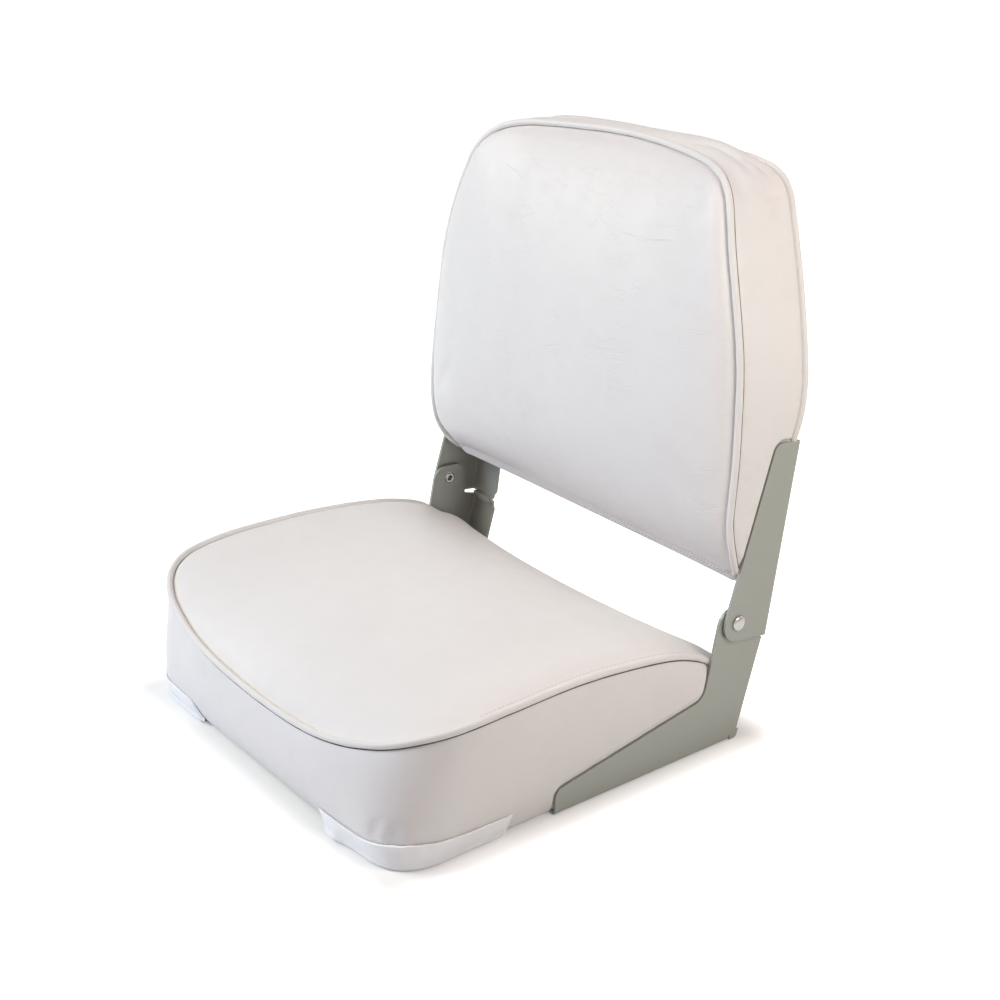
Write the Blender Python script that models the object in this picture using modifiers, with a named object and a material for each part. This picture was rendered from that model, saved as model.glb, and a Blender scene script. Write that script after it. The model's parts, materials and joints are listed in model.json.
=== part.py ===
# Folding boat seat: an upholstered seat and backrest joined by two riveted, formed sheet-metal hinges.
# World frame in metres: +Z up, the sitter faces -Y, and the origin is on the ground at the middle of the
# seat's bounding box. Left and right are named as seen from the front, so right is +X.
# The hinge plates are described from the pivot axis. The backrest is described upright, with its own
# axes through the pivot (x across, v to the rear, u up), and the empty on the pivot leans it back.

import math

import bmesh
import bpy
from mathutils import Matrix, Vector

# General fits
GAP = 0.0003              # clearance between neighbouring pieces
OVERRUN = 0.002           # how far a cutter runs past the faces that it cuts
ROUND_STEPS = 24          # facets round a turned piece
FASTENER_STEPS = 16       # facets round a screw or nut
FILLET_STEPS = 4          # facets round a corner of an outline
SMOOTHING = 4             # stations on either side that a crowned panel is evened over
WELD = GAP / 1000         # points nearer than this are one point
CREASE_DEGREES = 50.0     # soft forms stay smooth across edges flatter than this

# Pivot and lean
PIVOT_Y = 0.1245
PIVOT_Z = 0.110
LEAN = math.radians(9.0)

# Hinge plates, formed from one thickness of sheet
SHEET = 0.0025
BEND_RADIUS = 0.0035      # outside radius of a bend
RELIEF_WIDTH = 0.001      # slit beside the end of a bend
RELIEF_DEPTH = 0.0045
UPPER_PLATE_SPAN = 0.401  # across the outer faces of the two upper plates
WASHER_THICKNESS = 0.0005
FLANGE_WIDTH = 0.037

UPPER_REAR_V = 0.037      # rear face of the upper plate behind the pivot
UPPER_TOP_U = 0.1503
UPPER_TOP_WIDTH = 0.0282
UPPER_TOP_RADIUS = 0.009
UPPER_FOOT_U = -0.0151    # lower rear corner of the upper plate
UPPER_EAR_RADIUS = 0.015
UPPER_EAR_V = -0.0173     # lower front corner before it is rounded
UPPER_EAR_U = -0.0165

LOWER_REACH = 0.1855      # from the pivot forward to the tip of the lower plate
LOWER_TIP_HEIGHT = 0.0217
LOWER_TIP_RADIUS = 0.008
LOWER_KNEE_Y = -0.0311    # where the arm meets the upright
LOWER_KNEE_Z = -0.0613
LOWER_KNEE_RADIUS = 0.015
LOWER_EAR_FRONT_Y = -0.0154
LOWER_EAR_REAR_Y = 0.0185
LOWER_EAR_TOP_Z = 0.0125
LOWER_EAR_RADIUS = 0.013
LOWER_SHOULDER_Z = -0.0205
LOWER_SHOULDER_RADIUS = 0.0015
LOWER_REAR_Y = 0.034      # upper rear corner of the lower plate
LOWER_REAR_Z = -0.0249
LOWER_FOOT_Y = 0.0085     # lower rear corner of the lower plate
LOWER_FOOT_RADIUS = 0.004
LOWER_FLANGE_REAR_Y = 0.0
LOWER_BEND_START = 0.009  # from the foot corner up to the start of the rear bend

# Stop lips: the two rear flanges meet on these when the backrest is up
LIP_U = -0.0170           # level at which the two lips meet
LIP_LENGTH = 0.008
LIP_OUTER_SETBACK = 0.009
LIP_INNER_SETBACK = 0.003
LIP_CORNER_RADIUS = 0.0035
FLANGE_CORNER_RADIUS = 0.006
FLANGE_SLOPE = 0.004      # rise of the flange's inner corner beside the lip

# Rivet on the pivot
RIVET_RADIUS = 0.0039
RIVET_HEAD_RADIUS = 0.0065
RIVET_HEAD_HEIGHT = 0.0028
RIVET_COLLAR_RADIUS = 0.0052
RIVET_COLLAR_HEIGHT = 0.0015
RIVET_BORE_RADIUS = 0.0023
RIVET_BORE_DEPTH = 0.0045
RIVET_DOME_STEPS = 5
RIVET_RIM_SHARE = 0.2      # straight rim under the dome, of the head's height
RIVET_UNDERCUT_SHARE = 0.97
WASHER_RADIUS = 0.009

# Vinyl, boards and piping
VINYL = 0.001
BOARD = 0.012
BACK_BOARD = 0.010
MOUNT_FACE_MARGIN = 0.005 # between the board's mounting face and the hinge flanges
MOUNT_FACE_INSET = 0.030  # from the seat's front and rear edges in to the mounting face
MOUNT_FACE_RADIUS = 0.006
REAR_PANEL = 0.0026
REAR_PANEL_INSET = 0.0034
PIPE_RADIUS = 0.0027
PIPE_SIDES_RESOLUTION = 2
VALLEY_DEPTH = 0.0035     # from the piping's centre in to the seam, along the diagonal
LIP_OUT = 0.0002          # the two panels beside the piping, from its centre
LIP_BACK = 0.0044
FOAM_INSET = 0.0026       # foam behind the outside of its cover, at the walls
FOAM_DROP = 0.0045        # and under the crowned panel
HEM = 0.015               # cover turned under its board

# Seat cushion
SEAT_SIDE_CLEARANCE = 0.0006   # between the bottom edge and where the cover is pressed by the plates
SEAT_SEAM_OVERHANG = 0.0031    # piping past the outer face of the lower plates
SEAT_FRONT = 0.3310       # bottom front edge ahead of the pivot
SEAT_SEAM_FRONT = 0.3335  # piping ahead of the pivot
SEAT_BASE_CORNER = 0.030
SEAT_SEAM_CORNER = 0.078
SEAT_REAR_CORNER = 0.018
SEAT_EDGE = 0.0032        # roll of the cover round the bottom edge
SEAT_SEAM_HEIGHT = 0.1125
SEAT_FRONT_DIP = 0.044    # how far the piping dips at the middle of the front
SEAT_REAR_DROP = 0.040    # how far the piping falls beside the hinge
SEAT_DROP_START = 0.150   # ahead of the pivot
SEAT_PIPE_END = 0.015     # end of the piping, ahead of the pivot
SEAT_DROP_POWER = 2.5
SEAT_REAR_TOP = 0.0745    # top of the rolled rear edge, at the middle
SEAT_REAR_RISE = 0.0055   # how much higher that edge is at its ends
SEAT_ROLL = 0.030
SEAT_CORNER_ROLL = 0.015
SEAT_CROWN = 0.1150
SEAT_CROWN_Y = 0.180      # ahead of the pivot
SEAT_PILLOW = 0.0075
SEAT_BULGE = 0.0075
SEAT_REAR_BULGE = 0.002
SEAT_PIPE_END_CLEARANCE = 0.0009   # between the piping's end and the lower plate
SEAT_PIPE_TUCK = 0.0055   # from the upright plate's edge back to where the piping lies behind the plate
SEAT_PRESS_RISE = 0.0018  # cover is pressed flat this far past the hinge plate's edge
SEAT_FREE_RISE = 0.020

# Backrest cushion
BACK_SIDE_INSET = 0.0005  # widest cushion, from the outer face of the upper plates
BACK_TOP = 0.3605
BACK_DEPTH = 0.075        # rear piping to the farthest front piping
BACK_SEAM_V = 0.030       # rear piping behind the pivot
BACK_BASE_TOP = 0.363
BACK_ROLL = 0.024
BACK_CROWN_V = -0.0555
BACK_CROWN_U = 0.190
BACK_PILLOW = 0.009
BACK_BULGE = 0.006
BACK_TOP_BULGE = 0.008

# Screws and mounting nuts
SCREW_RADIUS = 0.0022
SCREW_HEAD_RADIUS = 0.0046
COUNTERSINK_DEPTH = 0.0022
SCREW_HEAD_HEIGHT = 0.0022
SCREW_CROWN_SHARE = 0.7   # flat top of a pan head
SCREW_LENGTH = 0.0125
BACK_SCREW_LENGTH = 0.0130
DRIVE_RADIUS = 0.0012
DRIVE_DEPTH = 0.0014
SCREW_INSET = 0.019       # from the inner face of the side plate
NUT_PITCH = 0.127         # square bolt pattern under the seat
NUT_FLANGE_RADIUS = 0.0095
NUT_FLANGE_THICKNESS = 0.0015
NUT_BARREL_RADIUS = 0.0040
NUT_BORE_RADIUS = 0.0029
NUT_BARREL_LENGTH = 0.0095

# Corner protectors
PROTECTOR_WALL = 0.0020
PROTECTOR_GAP = 0.0005
PROTECTOR_HEIGHT = 0.0200
PROTECTOR_LEAF = 0.024
PROTECTOR_TURN_SHARE = 0.84     # where its bend starts, of the cover's roll
PROTECTOR_CHAMFER_SHARE = 0.38  # and how far the bend stands out, of its offset

# Shares, chosen by hand, of the sizes above
FRONT_WIDTH_SHARES = (0.0, 0.42, 0.80)
CORNER_ANGLE_SHARES = (0.0, 0.25, 0.5, 0.75, 1.0)
REAR_WIDTH_SHARES = (0.86, 0.52, 0.0)
ARM_PLACE_SHARES = (0.32, 0.64, 0.93)
SEAT_WALL_SHARES = (0.24, 0.50, 0.78)
BULGE_SHARES = (0.72, 1.0, 0.66)
PANEL_SHARES = (0.07, 0.20, 0.42, 0.70)
DOME_POWER = 2            # how a crowned panel rises from its seam to its crown
PILLOW_POWER = 5          # how quickly the pillow over the dome fills out
DIP_POWER = 6             # how quickly a dip of the seam fades out
SEAT_TUCK_SHARES = (1.0, 1.0, 1.0, 1.0, 0.9, 0.42, 0.03, 0.0)
ARM_SCREW_SHARES = (0.15, 0.50, 0.85)
FOAM_TRIM_SHARE = 1.8     # foam is trimmed this much more at the foot and beside the hinges
BACK_SCREW_SHARES = (0.42, 0.65, 0.88)
BACK_WALL_SHARES = (0.30, 0.55, 0.80)

# Rows run from the middle of the bottom edge up the right side to the middle of the top:
# share of the half width, of the top height, of the side depth, and of the roll where there is no piping.
BACK_SEAM_SHARES = (
    (0.000, 0.135, 0.760, 1.0),
    (0.375, 0.134, 0.750, 1.0),
    (0.640, 0.131, 0.710, 1.0),
    (0.790, 0.127, 0.640, 0.9),
    (0.890, 0.121, 0.545, 0.6),
    (0.948, 0.115, 0.460, 0.0),
    (0.988, 0.146, 0.605, 0.0),
    (0.999, 0.194, 0.707, 0.0),
    (0.998, 0.291, 0.800, 0.0),
    (0.989, 0.423, 0.853, 0.0),
    (0.970, 0.541, 0.900, 0.0),
    (0.935, 0.655, 0.953, 0.0),
    (0.887, 0.752, 0.987, 0.0),
    (0.825, 0.843, 0.980, 0.0),
    (0.750, 0.913, 0.927, 0.0),
    (0.670, 0.951, 0.840, 0.0),
    (0.550, 0.975, 0.707, 0.0),
    (0.390, 0.988, 0.573, 0.0),
    (0.200, 0.997, 0.487, 0.0),
    (0.000, 1.000, 0.453, 0.0),
)
# The same rows for the outline of the rear piping: share of the half width, share of the top height.
BACK_BASE_SHARES = (
    (0.000, 0.094),
    (0.375, 0.094),
    (0.640, 0.094),
    (0.790, 0.095),
    (0.885, 0.101),
    (0.938, 0.115),
    (0.968, 0.148),
    (0.973, 0.194),
    (0.974, 0.289),
    (0.975, 0.420),
    (1.000, 0.537),
    (0.945, 0.650),
    (0.885, 0.747),
    (0.820, 0.837),
    (0.767, 0.909),
    (0.705, 0.966),
    (0.585, 0.989),
    (0.400, 0.995),
    (0.200, 0.999),
    (0.000, 1.000),
)
BACK_PLATE_ROWS = (5, 9)  # rows that the upper hinge plates cover
SEAT_RINGS = (4, 7)       # the seat profile's first wall ring and its seam ring
BACK_RINGS = (5, 8)       # and the backrest's

# Sizes that follow from the ones above
UPPER_X = UPPER_PLATE_SPAN / 2
LOWER_X = UPPER_X - SHEET - WASHER_THICKNESS - GAP - GAP
LOWER_INNER_X = LOWER_X - SHEET
FLANGE_INNER_X = UPPER_X - FLANGE_WIDTH
PRESS_X = LOWER_INNER_X - GAP
BACK_PRESS_X = UPPER_X - SHEET - GAP
BACK_PIPE_PRESS_X = BACK_PRESS_X - PIPE_RADIUS
SEAT_HALF = PRESS_X - SEAT_SIDE_CLEARANCE
SEAT_SEAM_HALF = LOWER_X + SEAT_SEAM_OVERHANG
SEAT_PIPE_END_X = LOWER_INNER_X - PIPE_RADIUS - SEAT_PIPE_END_CLEARANCE
BACK_HALF = UPPER_X - BACK_SIDE_INSET
HEM_Z = SHEET + GAP
BOARD_Z = HEM_Z + VINYL + GAP
FOAM_Z = BOARD_Z + BOARD + GAP
FOOT_SLOPE = (LOWER_REAR_Y - LOWER_FOOT_Y) / (LOWER_REAR_Z + PIVOT_Z)
ARM_SLOPE = (LOWER_KNEE_Z + PIVOT_Z - LOWER_TIP_HEIGHT) / (LOWER_KNEE_Y + LOWER_REACH)
UPRIGHT_SLOPE = (LOWER_EAR_FRONT_Y - LOWER_KNEE_Y) / (LOWER_EAR_TOP_Z - LOWER_KNEE_Z)
REAR_FLANGE_FOOT_Y = LOWER_FOOT_Y + FOOT_SLOPE * LOWER_BEND_START - SHEET / math.cos(math.atan(FOOT_SLOPE))
SEAT_REAR_Y = PIVOT_Y + REAR_FLANGE_FOOT_Y - GAP
BACK_HEM_V = UPPER_REAR_V - SHEET - GAP - REAR_PANEL - GAP
BACK_BOARD_V = BACK_HEM_V - VINYL - GAP
BACK_FOAM_V = BACK_BOARD_V - BACK_BOARD - GAP
VALLEY = VALLEY_DEPTH * math.sqrt(0.5)
ROLL_MIDDLE = math.radians(50)
ROLL_TURN = math.radians(28)
SEAT_BOARD_INSET = SEAT_EDGE + GAP
BACK_BOARD_INSET = LIP_BACK + FOAM_INSET + GAP


def clear_scene():
    for old in list(bpy.data.objects):
        bpy.data.objects.remove(old, do_unlink=True)


def new_collection(name):
    made = bpy.data.collections.new(name)
    bpy.context.scene.collection.children.link(made)
    return made


def new_material(name, colour, roughness, metallic=0.0):
    made = bpy.data.materials.new(name)
    made.use_nodes = True
    shader = made.node_tree.nodes["Principled BSDF"]
    shader.inputs["Base Color"].default_value = (*colour, 1.0)
    shader.inputs["Roughness"].default_value = roughness
    shader.inputs["Metallic"].default_value = metallic
    made.diffuse_color = (*colour, 1.0)
    return made


def add_piece(name, mesh, material, parent=None):
    piece = bpy.data.objects.new(name, mesh)
    PARTS.objects.link(piece)
    piece.data.materials.clear()
    piece.data.materials.append(material)
    piece.parent = parent
    return piece


def add_cutter(name, mesh, parent=None):
    cutter = bpy.data.objects.new(name, mesh)
    CUTTERS.objects.link(cutter)
    cutter.hide_render = True
    cutter.display_type = "WIRE"
    cutter.parent = parent
    return cutter


def cut(piece, cutter):
    boolean = piece.modifiers.new(cutter.name, "BOOLEAN")
    boolean.operation = "DIFFERENCE"
    boolean.solver = "EXACT"
    boolean.object = cutter


def smooth(mesh):
    mesh.shade_smooth()
    mesh.set_sharp_from_angle(angle=math.radians(CREASE_DEGREES))


def rounded_outline(corners):
    """Points of a closed outline whose corners (a, b, radius) are rounded, hollow corners as well."""
    points = []
    count = len(corners)
    for place, (a, b, radius) in enumerate(corners):
        here = Vector((a, b))
        if radius == 0:
            points.append(here)
            continue
        before = (Vector(corners[place - 1][:2]) - here).normalized()
        after = (Vector(corners[(place + 1) % count][:2]) - here).normalized()
        half = before.angle(after) / 2
        reach = radius / math.tan(half)
        centre = here + (before + after).normalized() * (radius / math.sin(half))
        start = here + before * reach - centre
        turn = start.angle_signed(here + after * reach - centre)
        for step in range(FILLET_STEPS + 1):
            points.append(centre + Matrix.Rotation(-turn * step / FILLET_STEPS, 2) @ start)
    return points


def without_straight_points(outline):
    """The outline without the points that lie on its straight stretches."""
    kept = []
    for place, point in enumerate(outline):
        before = Vector(outline[place - 1])
        along = (Vector(outline[(place + 1) % len(outline)]) - before).normalized()
        offset = Vector(point) - before
        if abs(along.x * offset.y - along.y * offset.x) > WELD:
            kept.append(point)
    return kept


def flat_mesh(name, outlines, thickness):
    """Flat outlines, the later ones holes in the first, extruded and centred on their own XY plane."""
    curve = bpy.data.curves.new(name, "CURVE")
    curve.dimensions = "2D"
    curve.fill_mode = "BOTH"
    curve.extrude = thickness / 2
    for outline in outlines:
        corners = without_straight_points(outline)
        spline = curve.splines.new("POLY")
        spline.points.add(len(corners) - 1)
        for point, (a, b) in zip(spline.points, corners):
            point.co = (a, b, 0, 1)
        spline.use_cyclic_u = True
    return curve_to_mesh(curve)


def flat_piece(name, outline, thickness, material, parent=None):
    return add_piece(name, flat_mesh(name, [outline], thickness), material, parent)


def rebate_cutter(name, outer, inner, low, high):
    """A cutter that takes a face down to a level all round an inner outline."""
    cutter = add_cutter(name, flat_mesh(name, [outer, inner], high - low))
    cutter.location.z = (low + high) / 2
    return cutter


def curve_to_mesh(curve):
    """The closed mesh of a curve, its caps welded on."""
    carrier = bpy.data.objects.new(curve.name, curve)
    bpy.context.scene.collection.objects.link(carrier)
    evaluated = carrier.evaluated_get(bpy.context.evaluated_depsgraph_get())
    mesh = bpy.data.meshes.new_from_object(evaluated)
    bpy.data.objects.remove(carrier, do_unlink=True)
    shape = bmesh.new()
    shape.from_mesh(mesh)
    bmesh.ops.remove_doubles(shape, verts=shape.verts, dist=WELD)
    bmesh.ops.recalc_face_normals(shape, faces=shape.faces)
    shape.to_mesh(mesh)
    shape.free()
    return mesh


def turned_mesh(name, profile, closed):
    """The line that a Screw modifier turns into a round piece; points are (radius, height)."""
    mesh = bpy.data.meshes.new(name)
    count = len(profile)
    edges = [(place, place + 1) for place in range(count - 1)]
    if closed:
        edges.append((count - 1, 0))
    mesh.from_pydata([(radius, 0, height) for radius, height in profile], edges, [])
    return mesh


def add_turning(piece, steps):
    turning = piece.modifiers.new("turn", "SCREW")
    turning.axis = "Z"
    turning.steps = steps
    turning.render_steps = steps
    turning.use_merge_vertices = True
    turning.merge_threshold = GAP / 10
    turning.use_normal_calculate = False


def turned_piece(name, profile, material, place, facing, parent=None, closed=False, steps=FASTENER_STEPS):
    piece = add_piece(name, turned_mesh(name, profile, closed), material, parent)
    piece.location = place
    piece.rotation_euler = Vector((0, 0, 1)).rotation_difference(Vector(facing)).to_euler()
    add_turning(piece, steps)
    return piece


def turned_cutter(name, profile, place, facing, parent=None, steps=FASTENER_STEPS):
    cutter = add_cutter(name, turned_mesh(name, profile, False), parent)
    cutter.location = place
    cutter.rotation_euler = Vector((0, 0, 1)).rotation_difference(Vector(facing)).to_euler()
    add_turning(cutter, steps)
    return cutter


def hole_profile(radius, top, bottom):
    return [(0, top), (radius, top), (radius, bottom), (0, bottom)]


# Hinge plates

def point_key(point):
    return tuple(round(value / WELD) for value in point)


def sheet_piece(name, faces, bends, side, material, parent=None):
    """A folded sheet: outside faces with their outward directions, rounded along the bends."""
    shape = bmesh.new()
    weight = shape.edges.layers.float.new("bevel_weight_edge")
    known = {}
    for points, outward in faces:
        corners = []
        for point in points:
            key = point_key(point)
            if key not in known:
                known[key] = shape.verts.new((side * point[0], point[1], point[2]))
            corners.append(known[key])
        face = shape.faces.new(corners)
        face.normal_update()
        if face.normal.dot(Vector((side * outward[0], outward[1], outward[2]))) < 0:
            face.normal_flip()
    for ends in bends:
        pair = [known[point_key(point)] for point in ends]
        shape.edges.get(pair)[weight] = 1.0
    mesh = bpy.data.meshes.new(name)
    shape.to_mesh(mesh)
    shape.free()
    piece = add_piece(name, mesh, material, parent)
    bend = piece.modifiers.new("bends", "BEVEL")
    bend.limit_method = "WEIGHT"
    bend.offset_type = "OFFSET"
    bend.width = BEND_RADIUS
    bend.segments = 4
    bend.use_clamp_overlap = False
    wall = piece.modifiers.new("sheet", "SOLIDIFY")
    wall.thickness = SHEET
    wall.offset = -1
    wall.use_even_offset = True
    return piece


def flange_end(outer_x, level, lip_level, up):
    """The end of a rear flange that carries the stop lip, from the side plate inwards.
    Points are (x, height along the flange); up is +1 where the lip is above the flange."""
    start = outer_x - LIP_OUTER_SETBACK
    end = FLANGE_INNER_X + LIP_INNER_SETBACK
    root = lip_level - up * RELIEF_DEPTH
    return [
        (start + RELIEF_WIDTH, level),
        (start + RELIEF_WIDTH, root),
        (start, root),
        (start, lip_level),
        (end, lip_level),
        (end, root),
        (FLANGE_INNER_X, root - up * FLANGE_SLOPE),
    ]


def lip_outline(outer_x):
    """The stop lip seen along the hinge pin's length: x, and distance forward of the flange's rear face."""
    start = outer_x - LIP_OUTER_SETBACK
    end = FLANGE_INNER_X + LIP_INNER_SETBACK
    return rounded_outline([
        (start, 0, 0),
        (start, LIP_LENGTH, LIP_CORNER_RADIUS / 2),
        (end, LIP_LENGTH, LIP_CORNER_RADIUS),
        (end, 0, 0),
    ])


def upper_plate(name, side, material, parent):
    """The upright hinge plate, in the backrest's own axes (x, v, u)."""
    front_slope = (UPPER_REAR_V - UPPER_TOP_WIDTH - UPPER_EAR_V) / (UPPER_TOP_U - UPPER_EAR_U)
    outline = rounded_outline([
        (UPPER_EAR_V, UPPER_EAR_U, UPPER_EAR_RADIUS),
        (UPPER_REAR_V, UPPER_FOOT_U, 0),
        (UPPER_REAR_V, UPPER_TOP_U, 0),
        (UPPER_EAR_V + front_slope * (UPPER_TOP_U - UPPER_EAR_U), UPPER_TOP_U, UPPER_TOP_RADIUS),
    ])
    side_face = [(UPPER_X, v, u) for v, u in outline]
    lip_level = LIP_U
    end = flange_end(UPPER_X, UPPER_FOOT_U, lip_level, -1)
    top = rounded_outline([
        (FLANGE_INNER_X, UPPER_FOOT_U, 0),
        (FLANGE_INNER_X, UPPER_TOP_U, FLANGE_CORNER_RADIUS),
        (UPPER_X, UPPER_TOP_U, 0),
    ])[1:]
    rear = [(UPPER_X, UPPER_FOOT_U)] + end + top
    rear_face = [(x, UPPER_REAR_V, u) for x, u in rear]
    lip_face = [(x, UPPER_REAR_V - forward, lip_level) for x, forward in lip_outline(UPPER_X)]
    faces = [(side_face, (1, 0, 0)), (rear_face, (0, 1, 0)), (lip_face, (0, 0, -1))]
    bends = [
        ((UPPER_X, UPPER_REAR_V, UPPER_FOOT_U), (UPPER_X, UPPER_REAR_V, UPPER_TOP_U)),
        (lip_face[0], lip_face[-1]),
    ]
    return sheet_piece(name, faces, bends, side, material, parent)


def lower_plate(name, side, material, parent):
    """The lower hinge plate, from the pivot: side plate, bottom flange, rear flange and stop lip."""
    ground = -PIVOT_Z
    along = Vector((FOOT_SLOPE, 1)).normalized()
    inward = Vector((-along.y, along.x))
    foot = Vector((LOWER_FOOT_Y, ground))
    bend_foot = foot + along * LOWER_BEND_START
    slit = bend_foot - along * RELIEF_WIDTH
    knee = (LOWER_KNEE_Y, LOWER_KNEE_Z)
    flange_y = LOWER_FLANGE_REAR_Y
    corners = [
        (-LOWER_REACH, ground, 0),
        (flange_y, ground, 0),
        (flange_y, ground + RELIEF_DEPTH, 0),
        (flange_y + RELIEF_WIDTH, ground + RELIEF_DEPTH, 0),
        (flange_y + RELIEF_WIDTH, ground, 0),
        (foot.x, foot.y, LOWER_FOOT_RADIUS),
        (slit.x, slit.y, 0),
        (*(slit + inward * RELIEF_DEPTH), 0),
        (*(bend_foot + inward * RELIEF_DEPTH), 0),
        (bend_foot.x, bend_foot.y, 0),
        (LOWER_REAR_Y, LOWER_REAR_Z, 0),
        (LOWER_EAR_REAR_Y, LOWER_SHOULDER_Z, LOWER_SHOULDER_RADIUS),
        (LOWER_EAR_REAR_Y, LOWER_EAR_TOP_Z, LOWER_EAR_RADIUS),
        (LOWER_EAR_FRONT_Y, LOWER_EAR_TOP_Z, LOWER_EAR_RADIUS),
        (*knee, LOWER_KNEE_RADIUS),
        (-LOWER_REACH, ground + LOWER_TIP_HEIGHT, LOWER_TIP_RADIUS),
    ]
    side_face = [(LOWER_X, y, z) for y, z in rounded_outline(corners)]
    bottom = rounded_outline([
        (LOWER_X, -LOWER_REACH, 0),
        (FLANGE_INNER_X, -LOWER_REACH, FLANGE_CORNER_RADIUS),
        (FLANGE_INNER_X, flange_y, FLANGE_CORNER_RADIUS),
        (LOWER_X, flange_y, 0),
    ])
    bottom_face = [(x, y, ground) for x, y in bottom]
    # The rear flange is measured along its own slope from the bend's foot.
    rear_top = Vector((LOWER_REAR_Y, LOWER_REAR_Z))
    length = (rear_top - bend_foot).length
    up_axis = Vector((math.sin(LEAN), math.cos(LEAN)))
    lip_rise = (LIP_U - GAP - rear_top.dot(up_axis)) / along.dot(up_axis)
    lip_level = length + lip_rise
    end = flange_end(LOWER_X, length, lip_level, 1)
    foot_end = rounded_outline([
        (FLANGE_INNER_X, length, 0),
        (FLANGE_INNER_X, 0, FLANGE_CORNER_RADIUS),
        (LOWER_X, 0, 0),
    ])[1:]
    rear = [(LOWER_X, length)] + end + foot_end
    rear_face = [(x, *(bend_foot + along * height)) for x, height in rear]
    lip_root = bend_foot + along * lip_level
    lip_forward = Vector((-math.cos(LEAN), math.sin(LEAN)))
    lip_face = [(x, *(lip_root + lip_forward * forward)) for x, forward in lip_outline(LOWER_X)]
    rear_out = (0, along.y, -along.x)
    faces = [
        (side_face, (1, 0, 0)),
        (bottom_face, (0, 0, -1)),
        (rear_face, rear_out),
        (lip_face, (0, up_axis.x, up_axis.y)),
    ]
    bends = [
        ((LOWER_X, -LOWER_REACH, ground), (LOWER_X, flange_y, ground)),
        ((LOWER_X, *bend_foot), (LOWER_X, *rear_top)),
        (lip_face[0], lip_face[-1]),
    ]
    return sheet_piece(name, faces, bends, side, material, parent)


def rivet_profile():
    """Domed head outside, shank through both plates, hollow clinched collar inside.
    Height 0 is the outer face of the upper plate; heights below it run inwards."""
    grip = UPPER_X - LOWER_INNER_X
    dome = []
    for step in range(RIVET_DOME_STEPS):
        angle = math.pi / 2 * step / RIVET_DOME_STEPS
        dome.append((RIVET_HEAD_RADIUS * math.sin(angle), GAP + RIVET_HEAD_HEIGHT * math.cos(angle)))
    collar_top = -grip - GAP
    collar_end = collar_top - RIVET_COLLAR_HEIGHT
    return dome + [
        (RIVET_HEAD_RADIUS, GAP + RIVET_HEAD_HEIGHT * RIVET_RIM_SHARE),
        (RIVET_HEAD_RADIUS * RIVET_UNDERCUT_SHARE, GAP),
        (RIVET_RADIUS, GAP),
        (RIVET_RADIUS, collar_top),
        (RIVET_COLLAR_RADIUS, collar_top),
        (RIVET_COLLAR_RADIUS, collar_top - RIVET_COLLAR_HEIGHT / 2),
        ((RIVET_COLLAR_RADIUS + RIVET_BORE_RADIUS) / 2, collar_end),
        (RIVET_BORE_RADIUS, collar_top - RIVET_COLLAR_HEIGHT / 2),
        (RIVET_BORE_RADIUS, collar_end + RIVET_BORE_DEPTH),
        (0, collar_end + RIVET_BORE_DEPTH),
    ]


# Upholstery

def outward_normals(plan):
    """Outward directions of a closed outline that runs anticlockwise."""
    count = len(plan)
    normals = []
    for place in range(count):
        before = Vector(plan[place - 1])
        after = Vector(plan[(place + 1) % count])
        along = (after - before).normalized()
        normals.append(Vector((along.y, -along.x)))
    return normals


def mirrored_loop(half):
    """A half outline on the right, from one middle to the other, closed with its mirror image."""
    return list(half) + [(-row[0], *row[1:]) for row in reversed(half[1:-1])]


def loft_mesh(name, profiles, pole, bottom_pole=None):
    """Skin over the profiles of every station round a cushion, closed at the crown by one point."""
    shape = bmesh.new()
    rows = [[shape.verts.new(point) for point in profile] for profile in profiles]
    crown = shape.verts.new(pole)
    levels = len(rows[0])
    count = len(rows)
    for place in range(count):
        here = rows[place]
        ahead = rows[(place + 1) % count]
        for level in range(levels - 1):
            shape.faces.new((here[level], ahead[level], ahead[level + 1], here[level + 1]))
        shape.faces.new((here[-1], ahead[-1], crown))
    if bottom_pole is not None:
        base = shape.verts.new(bottom_pole)
        for place in range(count):
            shape.faces.new((rows[(place + 1) % count][0], rows[place][0], base))
    mesh = bpy.data.meshes.new(name)
    shape.to_mesh(mesh)
    shape.free()
    smooth(mesh)
    return mesh


def place_point(plan, normal, out, level):
    return Vector((plan[0] + normal[0] * out, plan[1] + normal[1] * out, level))


def seam_points(seam, normal):
    """The three points across a seam: the valley that holds the piping, or a plain roll without it."""
    x, y, level, roll = seam[:4]
    across = [(LIP_OUT, -LIP_BACK), (-VALLEY, -VALLEY), (-LIP_BACK, LIP_OUT)]
    if roll > 0:
        across = []
        for angle in (ROLL_MIDDLE - ROLL_TURN, ROLL_MIDDLE, ROLL_MIDDLE + ROLL_TURN):
            out = math.cos(angle) - math.cos(ROLL_MIDDLE)
            rise = math.sin(angle) - math.sin(ROLL_MIDDLE)
            across.append((roll * out, roll * rise))
    return [place_point((x, y), normal, out, level + rise) for out, rise in across]


def add_panels(profiles, pole, pillow):
    """Rings of the crowned panel between the seam and the middle of the cushion.
    Dips of the seam fade out within the first rings, so the panel stays an even crown."""
    edges = [profile[-1] for profile in profiles]
    count = len(edges)
    for place, profile in enumerate(profiles):
        near = [edges[(place + step) % count].z for step in range(-SMOOTHING, SMOOTHING + 1)]
        level = sum(near) / len(near)
        for share in PANEL_SHARES:
            point = edges[place].lerp(pole, share)
            left = 1 - share
            rise = (pole.z - level - pillow) * (1 - left ** DOME_POWER) + pillow * (1 - left ** PILLOW_POWER)
            point.z = level + rise + (edges[place].z - level) * left ** DIP_POWER
            profile.append(point)


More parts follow.
